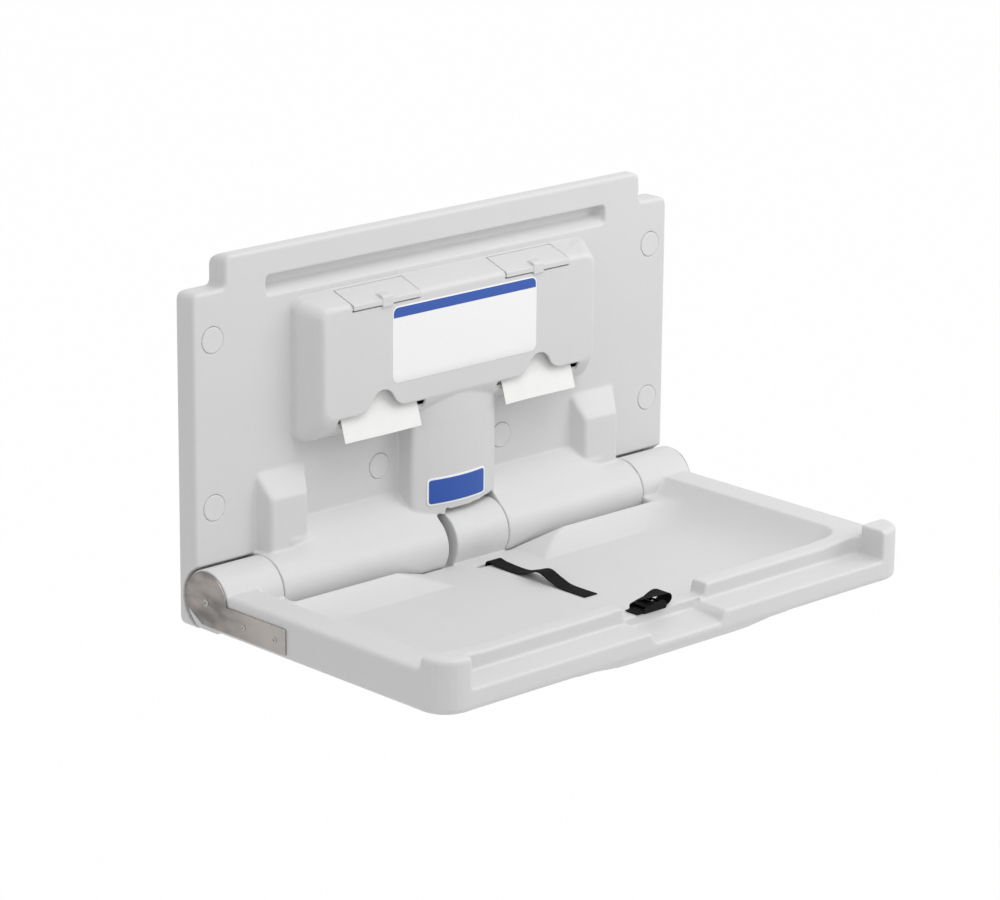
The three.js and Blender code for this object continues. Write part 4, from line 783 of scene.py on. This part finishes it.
def stitch_tree():
    """Stitches of one length along each line, lying in its direction."""
    board, given = tree_of("stitch_rows", {
        "Pitch": "Float", "Stitch": "Float", "Thread": "Float", "Finish": "Material"})
    line = board.node("GeometryNodeMeshToCurve", {}, {0: given["Geometry"]})
    row = board.node(
        "GeometryNodeResampleCurve", {"mode": "LENGTH"}, {"Curve": line, "Length": given["Pitch"]})
    way = board.node("GeometryNodeInputTangent")
    turn = board.node("FunctionNodeAlignRotationToVector", {"axis": "X"}, {"Vector": way})
    bead = board.node("GeometryNodeMeshUVSphere", {}, {"Segments": 8, "Rings": 5, "Radius": 1.0})
    size = board.node("ShaderNodeCombineXYZ", {}, {
        0: given["Stitch"] * 0.5, 1: given["Thread"], 2: given["Thread"]})
    many = board.node("GeometryNodeInstanceOnPoints", {}, {
        "Points": row, "Instance": bead, "Rotation": turn, "Scale": size})
    smooth = board.node("GeometryNodeSetShadeSmooth", {}, {0: many})
    return tree_end(board, smooth, given["Finish"])


def paper_stack_tree():
    """Folded sheets one in front of the other, each a little out of line."""
    board, given = tree_of("paper_stack", {
        "Form": "Object", "Sheets": "Int", "Depth": "Float", "Slip": "Float", "Seed": "Int",
        "Finish": "Material"})
    step = board.node("ShaderNodeCombineXYZ", {}, {
        1: given["Depth"].sum("DIVIDE", given["Depth"] * -1, given["Sheets"])})
    line = board.node("GeometryNodeMeshLine", {}, {"Count": given["Sheets"], "Offset": step})
    reach = board.node("ShaderNodeCombineXYZ", {}, {0: given["Slip"], 2: given["Slip"]})
    back = board.node("ShaderNodeVectorMath", {"operation": "SCALE"}, {0: reach, "Scale": -1.0})
    slip = board.node("FunctionNodeRandomValue", {"data_type": "FLOAT_VECTOR"}, {
        0: back, 1: reach, "Seed": given["Seed"]})
    shifted = board.node("GeometryNodeSetPosition", {}, {"Geometry": line, "Offset": slip})
    form = board.node("GeometryNodeObjectInfo", {}, {"Object": given["Form"]}, "Geometry")
    many = board.node("GeometryNodeInstanceOnPoints", {}, {"Points": shifted, "Instance": form})
    return tree_end(board, many, given["Finish"])


def grown(name, mesh, tree, settings):
    """What a tree makes of a mesh, as a plain mesh."""
    work = loose(name, mesh)
    modifier = work.modifiers.new(name, "NODES")
    modifier.node_group = tree
    for item in tree.interface.items_tree:
        if item.in_out == "INPUT" and item.name in settings:
            modifier[item.identifier] = settings[item.name]
    return taken(work)


def points_mesh(places, turn):
    """Points in millimetres that carry the turn of what stands on them."""
    mesh = bpy.data.meshes.new("places")
    mesh.from_pydata([Vector(place) * MM for place in places], [], [])
    attribute = mesh.attributes.new("turn", "FLOAT_VECTOR", "POINT")
    attribute.data.foreach_set("vector", list(turn) * len(places))
    return mesh


def lines_mesh(lines):
    """Open lines of points in metres."""
    points = [point for line in lines for point in line]
    edges = []
    start = 0
    for line in lines:
        edges += [(start + k, start + k + 1) for k in range(len(line) - 1)]
        start += len(line)
    mesh = bpy.data.meshes.new("rows")
    mesh.from_pydata(points, edges, [])
    return mesh


SET_OUT = set_out_tree()
STITCH_ROWS = stitch_tree()
PAPER_STACK = paper_stack_tree()


def set_out(name, form, places, turn, body, slot, stands_for=()):
    """A piece of one form on every place, in its slot's finish."""
    stand = loose(name + "_form", form)
    settings = {"Form": stand, "Finish": FINISH[slot]}
    mesh = grown(name, points_mesh(places, turn), SET_OUT, settings)
    bpy.data.objects.remove(stand)
    finished(name, mesh, body, slot, stands_for)


# Turned pieces: caps and screws


def turned(name, profile, sides, wave=None):
    """A form turned about Z from [radius, height] in millimetres; wave shapes a ring's radius."""
    rows = []
    for k, (radius, height) in enumerate(profile):
        row = []
        for i in range(sides):
            angle = math.tau * i / sides
            reach = wave(k, angle, radius) if wave else radius
            row.append((reach * math.cos(angle), reach * math.sin(angle), height))
        rows.append(row)
    return outward_faces(skin(name, rows))


def sharpened(mesh, degrees):
    mesh.set_sharp_from_angle(angle=math.radians(degrees))
    return mesh


def screw_cap_form():
    """Flush plug with an eased rim and a shallow dished face."""
    profile = [(0, -5.2), (CAP_RADIUS, -5.2), (CAP_RADIUS, -0.6), (17.85, 0.1), (17.5, 0.5), (16.9, 0.72),
               (16.0, 0.78), (14, 0.74), (9, 0.66), (0, 0.62)]
    return turned("screw_cap", profile, 72)


def socket_screw_form(head, shank, length):
    """Domed head with a hexagon socket, its shank pointing down Z."""
    key = head * 0.36
    sixth = math.pi / 3
    rounds = [(0, -length), (shank, -length), (shank, -0.2), (head * 0.97, -0.2), (head, 0.1)]
    rounds += [(head * math.cos(a), 0.1 + 0.95 * math.sin(a)) for a in (0.35, 0.7, 0.95)]
    rounds.append((key * 1.25, 1.04))
    socket = [(key * 1.04, 1.0), (key, 0.9), (key, 0.15), (0, 0.1)]

    def wave(k, angle, radius):
        if k < len(rounds):
            return radius
        return radius * math.cos(sixth / 2) / math.cos(angle % sixth - sixth / 2)

    return sharpened(turned("socket_screw", rounds + socket, 48, wave), 40)


def caps_and_screws():
    facing = (math.pi / 2, 0, 0)
    places = [(x, PANEL_FRONT, z) for x, z in CAP_PLACES]
    caps = [f"screw_cap_{k + 1}" for k in range(len(places))]
    set_out("screw_caps", screw_cap_form(), places, facing, "wall_unit", "cap", caps)
    for side, sign in SIDES:
        turn = (0, sign * math.pi / 2, 0)
        name = f"pivot_screw_{side}"
        form = socket_screw_form(head=5.4, shank=3, length=16)
        places = [(sign * SCREW_SEAT, HINGE_Y, 0)]
        set_out(name + "_head", form, places, turn, "wall_unit", "steel", [name])
        name = f"plate_screw_{side}"
        form = socket_screw_form(head=4.2, shank=2.4, length=19.5)
        places = [(sign * SCREW_SEAT, y, SCREW_HEIGHT) for y in (-135, -199)]
        set_out(name + "_heads", form, places, turn, "bed", "steel", [name + "_rear", name + "_front"])


# Sheet metal and small hardware


def edges_broken(name, mesh, width, segments, degrees):
    """The mesh with its sharp edges bevelled and its flats shaded flat."""
    work = loose(name, mesh)
    bevel = work.modifiers.new("break_edges", "BEVEL")
    bevel.width = width * MM
    bevel.segments = segments
    bevel.angle_limit = math.radians(degrees)
    shade = work.modifiers.new("shade", "WEIGHTED_NORMAL")
    shade.weight = 80
    return taken(work)


def eased(node, width):
    """A copy of a plain CAD part with its sharp edges broken and its curves shaded smooth."""
    form = bmesh.new()
    form.from_mesh(merged(node))
    flat = math.radians(0.5)
    bmesh.ops.dissolve_limit(form, angle_limit=flat, verts=form.verts, edges=form.edges)
    mesh = bpy.data.meshes.new(node + "_eased")
    form.to_mesh(mesh)
    form.free()
    mesh.shade_smooth()
    return edges_broken(node + "_eased", mesh, width, segments=2, degrees=35)


def side_plate(sign):
    """Steel side plate: round head on the hinge axis and a straight arm along the bed's side."""
    corner_y = HINGE_Y - PLATE_ARM + PLATE_CORNER
    outline = [(HINGE_Y + PLATE_HEEL, PLATE_BOTTOM)]
    outline += arc((HINGE_Y, 0), PLATE_HEAD_RADIUS, -17.6, 192.3, 40)
    outline += arc((corner_y, PLATE_TOP - PLATE_CORNER), PLATE_CORNER, 90, 90, 5)
    outline += arc((corner_y, PLATE_BOTTOM + PLATE_CORNER), PLATE_CORNER, 180, 90, 5)
    form = bar("side_plate", 0, sign * PLATE_INNER_FACE, sign * PLATE_OUTER_FACE, outline)
    return edges_broken("side_plate", form, width=0.4, segments=3, degrees=50)


def side_plates():
    for side, sign in SIDES:
        node = "hinge_plate_" + side
        finished(node + "_satin", side_plate(sign), "bed", "steel", [node], PLATE_STEEL)


def hardware():
    """Every CAD part that no other piece stands for, with its edges broken."""
    bodies = {node: body for body, held in frame["record"]["behaviour"]["bodies"].items() for node in held}
    for part in frame["record"]["subparts"]:
        node = part["node"]
        if node in STOOD_FOR:
            continue
        slot = part["material_slot"]
        finished(node + "_eased", eased(node, width=0.35), bodies[node], slot, [node])


# Safety strap and cam buckle


def smooth_path(points, steps):
    """Points on the smooth line that the frame's band follows, evenly spaced."""
    count = len(points) - 1
    close = steps * 6
    fine = []
    for k in range(close + 1):
        place = count * k / close
        i = min(int(place), count - 1)
        share = place - i
        p0, p1, p2, p3 = (np.array(points[min(max(i + j, 0), count)], float) for j in (-1, 0, 1, 2))
        v0, v1 = (p2 - p0) / 2, (p3 - p1) / 2
        fine.append((2 * p1 - 2 * p2 + v0 + v1) * share ** 3
                    + (3 * p2 - 3 * p1 - 2 * v0 - v1) * share ** 2 + v0 * share + p1)
    fine = np.array(fine)
    run = np.concatenate([[0], np.cumsum(np.linalg.norm(np.diff(fine, axis=0), axis=1))])
    even = np.linspace(0, run[-1], steps + 1)
    return np.stack([np.interp(even, run, fine[:, axis]) for axis in range(2)], axis=1), run[-1]


# Half of the band's section, as shares of its half width and half thickness
BAND_SECTION = [
    (-1, 0), (-0.985, 0.7), (-0.93, 1), (-0.5, 0.94), (0, 0.92), (0.5, 0.94), (0.93, 1), (0.985, 0.7)]


def band(name, path, length, to_space, twist=0):
    """A woven band over a flat path, twisting towards its end, with its own map in metres."""
    section = BAND_SECTION + [(-u, -v) for u, v in BAND_SECTION]
    way = np.gradient(path, axis=0)
    way /= np.linalg.norm(way, axis=1)[:, None]
    rows = []
    for level, (point, (du, dv)) in enumerate(zip(path, way)):
        share = level / (len(path) - 1)
        turn = math.radians(twist) * share * share * (3 - 2 * share)
        row = []
        for across, thick in section:
            flat, lift = across * STRAP_WIDTH / 2, thick * STRAP_THICKNESS / 2
            wide = flat * math.cos(turn) - lift * math.sin(turn)
            rise = flat * math.sin(turn) + lift * math.cos(turn)
            row.append(to_space(point[0] - dv * rise, point[1] + du * rise, wide))
        rows.append(row)
    mesh = skin(name, rows, caps=True)
    layer = mesh.uv_layers.new(name="band")
    count = len(section)
    for loop in mesh.loops:
        level, k = divmod(loop.vertex_index, count)
        across = section[k][0] * STRAP_WIDTH / 2 * MM
        layer.data[loop.index].uv = (across, length * MM * level / (len(rows) - 1))
    return outward_faces(mesh)


def on_band(path, length, at, across, to_space):
    """A point on the band's upper face, at a distance along it, in metres."""
    place = np.clip(at / length, 0, 1) * (len(path) - 1)
    i = min(int(place), len(path) - 2)
    u, v = path[i] + (path[i + 1] - path[i]) * (place - i)
    du, dv = (path[i + 1] - path[i]) / np.linalg.norm(path[i + 1] - path[i])
    lift = STRAP_THICKNESS / 2 * 0.95
    return Vector(to_space(u - dv * lift, v + du * lift, across)) * MM


def stitched_box(near, far, half):
    """Corner points along and across of a box stitch with its cross."""
    corners = rectangle(near, far, -half, half)
    sides = [(corners[k], corners[(k + 1) % 4]) for k in range(4)]
    return sides + [(corners[0], corners[2]), (corners[1], corners[3])]


def stitching(name, path, length, to_space, runs):
    lines = []
    for (a0, c0), (a1, c1) in runs:
        line = []
        for share in np.linspace(0, 1, 25):
            at, side = a0 + (a1 - a0) * share, c0 + (c1 - c0) * share
            line.append(on_band(path, length, at, side, to_space))
        lines.append(line)
    settings = {"Pitch": 2.6 * MM, "Stitch": 2.1 * MM, "Thread": 0.28 * MM, "Finish": THREAD}
    return grown(name, lines_mesh(lines), STITCH_ROWS, settings)


def long_strap():
    floor = FLOOR_HEIGHT + 1.05
    ahead = [(64, -39.8), (64, FLOOR_HEIGHT - 1.5), (64, FLOOR_HEIGHT + 1.5), (69, FLOOR_HEIGHT + 5),
             (84, floor + 1.5), (124, floor + 0.3), (147, floor + 6), (170, floor + 13), (193, floor + 6),
             (216, floor + 0.3), (263, floor)]
    path, length = smooth_path(ahead, 220)

    def to_space(u, v, across):
        return (LONG_STRAP_X + across, HINGE_Y - u, v)

    mesh = band("strap_long_band", path, length, to_space)
    strap = finished("strap_long_band", mesh, "bed", "webbing", ["strap_long"])
    runs = [((length - 6, -10.5), (length - 6, 10.5)), ((length - 10, -10.5), (length - 10, 10.5))]
    runs += stitched_box(24, 44, 9.5)
    sewn = stitching("strap_long_stitching", path, length, to_space, runs)
    thread = finished("strap_long_stitching", sewn, "bed", "webbing")
    for piece in (strap, thread):
        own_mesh(piece)


def short_strap():
    """From a short tail through the buckle, round an upright loop and back over it as a free end."""
    route = [(-41, -2.5), (-36, -2.3), (-30, -1.4), (-20, -1.1), (-10, -1.1), (4, -1.1), (12, -0.6),
             (19.5, 2.4), (23, 8), (20.5, 13.6), (13, 15.6)]
    over = [route[-1], (5, 15.0), (-6, 13.2), (-20, 11.4)]

    def to_space(u, v, across):
        return (u, SHORT_STRAP_Y + across, v)

    path, length = smooth_path(route, 160)
    mesh = band("strap_short_band", path, length, to_space)
    finished("strap_short_band", mesh, "bed", "webbing", ["strap_short"])
    path, length = smooth_path(over, 60)
    mesh = band("strap_short_end", path, length, to_space, END_TWIST)
    end = finished("strap_short_end", mesh, "bed", "webbing")
    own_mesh(end)


def across_buckle(name, low, high, outline):
    """A bar across the buckle, from low to high of its middle line."""
    return bar(name, 1, SHORT_STRAP_Y + low, SHORT_STRAP_Y + high, outline)


def buckle_body():
    """Wedge-shaped body: a base, two cheeks rising from its low left end, and a bar at its right end."""
    cheek = [(-30.5, -3.6), (9.5, -3.6), (11.4, -1.6), (11.4, 3), (8.6, 7.4), (4, 9.3), (-3, 9.2),
             (-12, 7.8), (-22, 5.8), (-29.4, 4.2), (-30.6, 3)]
    base = rectangle(-30.4, 9.6, SHORT_STRAP_Y - BASE_HALF, SHORT_STRAP_Y + BASE_HALF)
    end_bar = circle(END_BAR, END_BAR_RADIUS, 14)
    forms = [across_buckle("cheek", sign * CHEEK_INNER, sign * BUCKLE_HALF, cheek) for sign in SIGNS]
    forms.append(bar("base", 2, -3.7, -2.1, base))
    forms.append(across_buckle("end_bar", -14, 14, end_bar))
    return moulded("buckle_body", joined(forms), voxel=0.32, ease=3, most=60000)


def buckle_lever():
    """Closed cam lever: a round cam on the pin and a flat arm."""
    arm = [(-8, 8.2), (-13, 7.7), (-19, 6.4), (-24.2, 5.2), (-25, 4.3), (-24.4, 3.1), (-19, 2.9),
           (-13, 2.6), (-8, 3)]
    outlines = (("cam", circle(BUCKLE_PIN, CAM_RADIUS, 28)), ("arm", arm))
    forms = [across_buckle(name, -LEVER_HALF, LEVER_HALF, outline) for name, outline in outlines]
    return moulded("buckle_lever", joined(forms), voxel=0.32, ease=3, most=60000)


def grip_bar():
    """Thin round bar along Y for the lever's thumb grip."""
    rows = []
    for y, share in ((-11.2, 0.5), (-10.8, 1), (10.8, 1), (11.2, 0.5)):
        rows.append([(x, y, z) for x, z in circle((0, 0), 0.42 * share, 10)])
    return solid("grip_bar", rows)


def buckle():
    finished("buckle_body_moulding", buckle_body(), "bed", "buckle", ["buckle_body"])
    finished("buckle_lever_moulding", buckle_lever(), "cam_lever", "buckle", ["buckle_lever"])
    places = [(-23.6 + 1.5 * k, SHORT_STRAP_Y, 5.3 + 0.34 * k) for k in range(5)]
    set_out("lever_grip", grip_bar(), places, (0, 0, 0), "cam_lever", "buckle")
    profile = [(0, -13.6), (1.3, -13.6), (1.5, -13.3), (1.5, 13.3), (1.3, 13.6), (0, 13.6)]
    places = [(BUCKLE_PIN[0], SHORT_STRAP_Y, BUCKLE_PIN[1])]
    turn = (math.pi / 2, 0, 0)
    set_out("buckle_pin_rod", turned("rod", profile, 24), places, turn, "bed", "steel", ["buckle_pin"])


# Paper liners


def liner_sheet(sign, centre, half):
    """The sheet drawn down the pack, out under the cover's edge and hanging, with faint fold creases."""
    route = [(68.7, 253), (69.6, 236), (72.4, 220), (77.2, 206), (84, 184)]
    path, length = smooth_path(route, SHEET_STEPS)
    rows = []
    for k, (depth, z) in enumerate(path):
        free = max(0, (k / SHEET_STEPS - 0.5) * 2)
        row = []
        for i in range(SHEET_STEPS + 1):
            across = 2 * i / SHEET_STEPS - 1
            crease = 0.14 * (1 - min(1, abs(across - 0.34 * sign) * 14))
            curl = 0.25 * abs(across) ** 4 - 0.12
            wave = 0.12 * math.sin(5 * across + sign)
            out = (crease + curl + wave) * free
            sag = 0.3 * math.sin(3 * across + 2 * sign) * free ** 2
            row.append((centre + half * across, -depth - out, z + sag))
        rows.append(row)
    work = loose("liner_sheet", skin("liner_sheet", rows, ring=False))
    wall = work.modifiers.new("two_ply", "SOLIDIFY")
    wall.thickness = 0.4 * MM
    wall.offset = 0
    mesh = taken(work)
    mesh.shade_smooth()
    return sharpened(mesh, 60), length


def folded_sheet(low, high, thick):
    """One folded liner: a flattened loop along X, rounded at its folds."""
    near, far = low[0], high[0]
    middle_z = (low[2] + high[2]) / 2
    half_z = (high[2] - low[2]) / 2 - 0.8
    rows = []
    middle = (near + far) / 2
    for x, share in ((near + 0.8, 0.6), (near + 2, 1), (middle, 1), (far - 2, 1), (far - 0.8, 0.6)):
        row = []
        for across, rise in circle((0, 0), 1, 14):
            bulge = thick / 2 * share * math.copysign(abs(rise) ** 0.6, rise)
            reach = half_z * math.copysign(abs(across) ** 0.3, across)
            row.append((x, bulge, middle_z + reach))
        rows.append(row)
    return solid("folded_sheet", rows)


def folded_pack(node, seed):
    """Folded sheets one in front of the other, filling the box of the frame's pack."""
    low, high = ([part / MM for part in corner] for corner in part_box(node))
    depth = high[1] - low[1]
    step = depth / PACK_SHEETS
    form = folded_sheet(low, high, step * 1.05)
    for vertex in form.vertices:
        vertex.co.y += (high[1] - step / 2) * MM
    stand = loose("folded_sheet", form)
    settings = {"Form": stand, "Sheets": PACK_SHEETS, "Depth": depth * MM, "Slip": 0.7 * MM,
                "Seed": seed, "Finish": FINISH["paper"]}
    stack = grown(node, bpy.data.meshes.new("start"), PAPER_STACK, settings)
    bpy.data.objects.remove(stand)
    return stack


def paper_liners():
    for side, sign, centre, half in (("left", -1, -149.5, 70), ("right", 1, 149, 68)):
        node = "liner_pack_" + side
        stack = folded_pack(node, 4 + sign)
        pack = finished(node + "_folded", stack, "wall_unit", "paper", [node])
        node = "liner_sheet_" + side
        mesh, length = liner_sheet(sign, centre, half)
        sheet = finished(node + "_hanging", mesh, "wall_unit", "paper", [node])
        length * MM


# Bare plates on the dispenser and the column


def plate(name, x0, x1, z0, z1, rounds, back, front, surface):
    """A thin plate that follows a surface's depth at (x); heights are back and front of that surface."""
    columns, rows, near = 48, 10, 1e-4
    outline = rounded_outline(x0, x1, z0, z1, rounds)
    stations = [x0 + (x1 - x0) * k / columns for k in range(columns + 1)] + [x for x, _ in outline]
    grid = []
    for x in sorted({round(x, 4) for x in stations}):
        heights = []
        for (ax, az), (bx, bz) in zip(outline, outline[1:] + outline[:1]):
            if not min(ax, bx) - near <= x <= max(ax, bx) + near:
                continue
            if abs(bx - ax) > near:
                heights.append(az + (bz - az) * min(max((x - ax) / (bx - ax), 0), 1))
            else:
                heights += [az, bz]
        low, high = min(heights), max(heights)
        grid.append([(x, surface(x) - front, low + (high - low) * k / rows) for k in range(rows + 1)])
    work = loose(name, skin(name, grid, ring=False))
    wall = work.modifiers.new("plate", "SOLIDIFY")
    wall.thickness = (front - back) * MM
    wall.offset = 1
    edge = work.modifiers.new("edge", "BEVEL")
    edge.width = 0.12 * MM
    edge.segments = 2
    edge.angle_limit = math.radians(50)
    mesh = outward_faces(taken(work))
    mesh.shade_smooth()
    return sharpened(mesh, 40)


def box_face(x):
    """Depth of the dispenser's flat front, which is the same at any x."""
    return BOX_FRONT


# Name, edges (left, right, bottom, top), corner radii, back and front off the surface, surface, finish
BARE_PLATES = (
    ("label_plate", (-132, 140, 252.5, 361), (10, 10, 10, 10), (-0.4, 0.55), box_face, WHITE_VINYL),
    ("label_band", (-130.2, 138.2, 345, 359.2), (0.6, 0.6, 8.4, 8.4), (0.3, 0.68), box_face, BLUE_VINYL),
    ("badge_plate", (-58, 50, 58.5, 98.5), (6, 6, 6, 6), (-0.8, 0.7), column_face, WHITE_VINYL),
    ("badge_face", (-55.4, 47.4, 61.1, 95.9), (4.2, 4.2, 4.2, 4.2), (0.3, 0.86), column_face, BLUE_VINYL),
)


def bare_plates():
    for name, edges, rounds, heights, surface, vinyl in BARE_PLATES:
        finished(name, plate(name, *edges, rounds, *heights, surface), "wall_unit", "cap", finish=vinyl)


# The stage: floor, lamps and camera


def shown_white(board):
    """1 for the rays that show the background: camera, glossy and transmission rays."""
    kinds = ["Is Camera Ray", "Is Glossy Ray", "Is Transmission Ray"]
    camera, glossy, through = (board.node("ShaderNodeLightPath", output=kind) for kind in kinds)
    return camera.sum("MAXIMUM", camera.sum("MAXIMUM", camera, glossy), through)


def stage_surface():
    finish = Finish("studio_white")
    floor = finish.node("ShaderNodeBsdfDiffuse", {}, {"Color": (0.85, 0.85, 0.85, 1)})
    white = finish.node("ShaderNodeEmission", {}, {"Color": (1, 1, 1, 1), "Strength": 1})
    share = shown_white(finish) * 0.985
    both = finish.node("ShaderNodeMixShader", {}, {0: share, 1: floor, 2: white})
    finish.node("ShaderNodeOutputMaterial", {}, {"Surface": both})
    return finish.material


def studio(level):
    mesh = bpy.data.meshes.new("studio_floor")
    corners = rectangle(-STUDIO_HALF, STUDIO_HALF, -STUDIO_HALF, STUDIO_HALF)
    mesh.from_pydata([(x, y, STUDIO_FLOOR) for x, y in corners], [], [(0, 1, 2, 3)])
    mesh.materials.append(stage_surface())
    loose("studio_floor", mesh)
    world = bpy.data.worlds.new("studio_world")
    bpy.context.scene.world = world
    world.use_nodes = True
    board = Board(world.node_tree)
    strength = shown_white(board) * (1 - level) + level
    back = board.node("ShaderNodeBackground", {}, {"Color": (1, 1, 1, 1), "Strength": strength})
    board.node("ShaderNodeOutputWorld", {}, {"Surface": back})


def lamp(name, place, aim, size, power):
    data = bpy.data.lights.new(name, "AREA")
    data.shape = "DISK"
    data.size = size
    data.energy = power
    piece = loose(name, data)
    piece.location = place
    piece.rotation_euler = (Vector(aim) - Vector(place)).to_track_quat("-Z", "Y").to_euler()


def photo_camera():
    data = bpy.data.cameras.new("photo_camera")
    data.sensor_fit = "HORIZONTAL"
    data.sensor_width = 36
    data.lens = CAMERA_LENS
    camera = loose("photo_camera", data)
    turn = Matrix.Rotation(math.radians(CAMERA_AZIMUTH), 4, "Z")
    tilt = Matrix.Rotation(math.radians(90 - CAMERA_ELEVATION), 4, "X")
    roll = Matrix.Rotation(math.radians(CAMERA_ROLL), 4, "Z")
    place = Matrix.Translation(Vector(CAMERA_PLACE) * MM)
    camera.matrix_world = place @ turn @ tilt @ roll
    bpy.context.scene.camera = camera


photo_camera()
panel_moulding()
dispenser_moulding()
bed_moulding()
lid_mouldings()
caps_and_screws()
side_plates()
long_strap()
short_strap()
buckle()
paper_liners()
bare_plates()
hardware()

studio(WORLD_LEVEL)
for settings in LAMPS:
    lamp(*settings)
bpy.context.scene.view_settings.view_transform = "Standard"
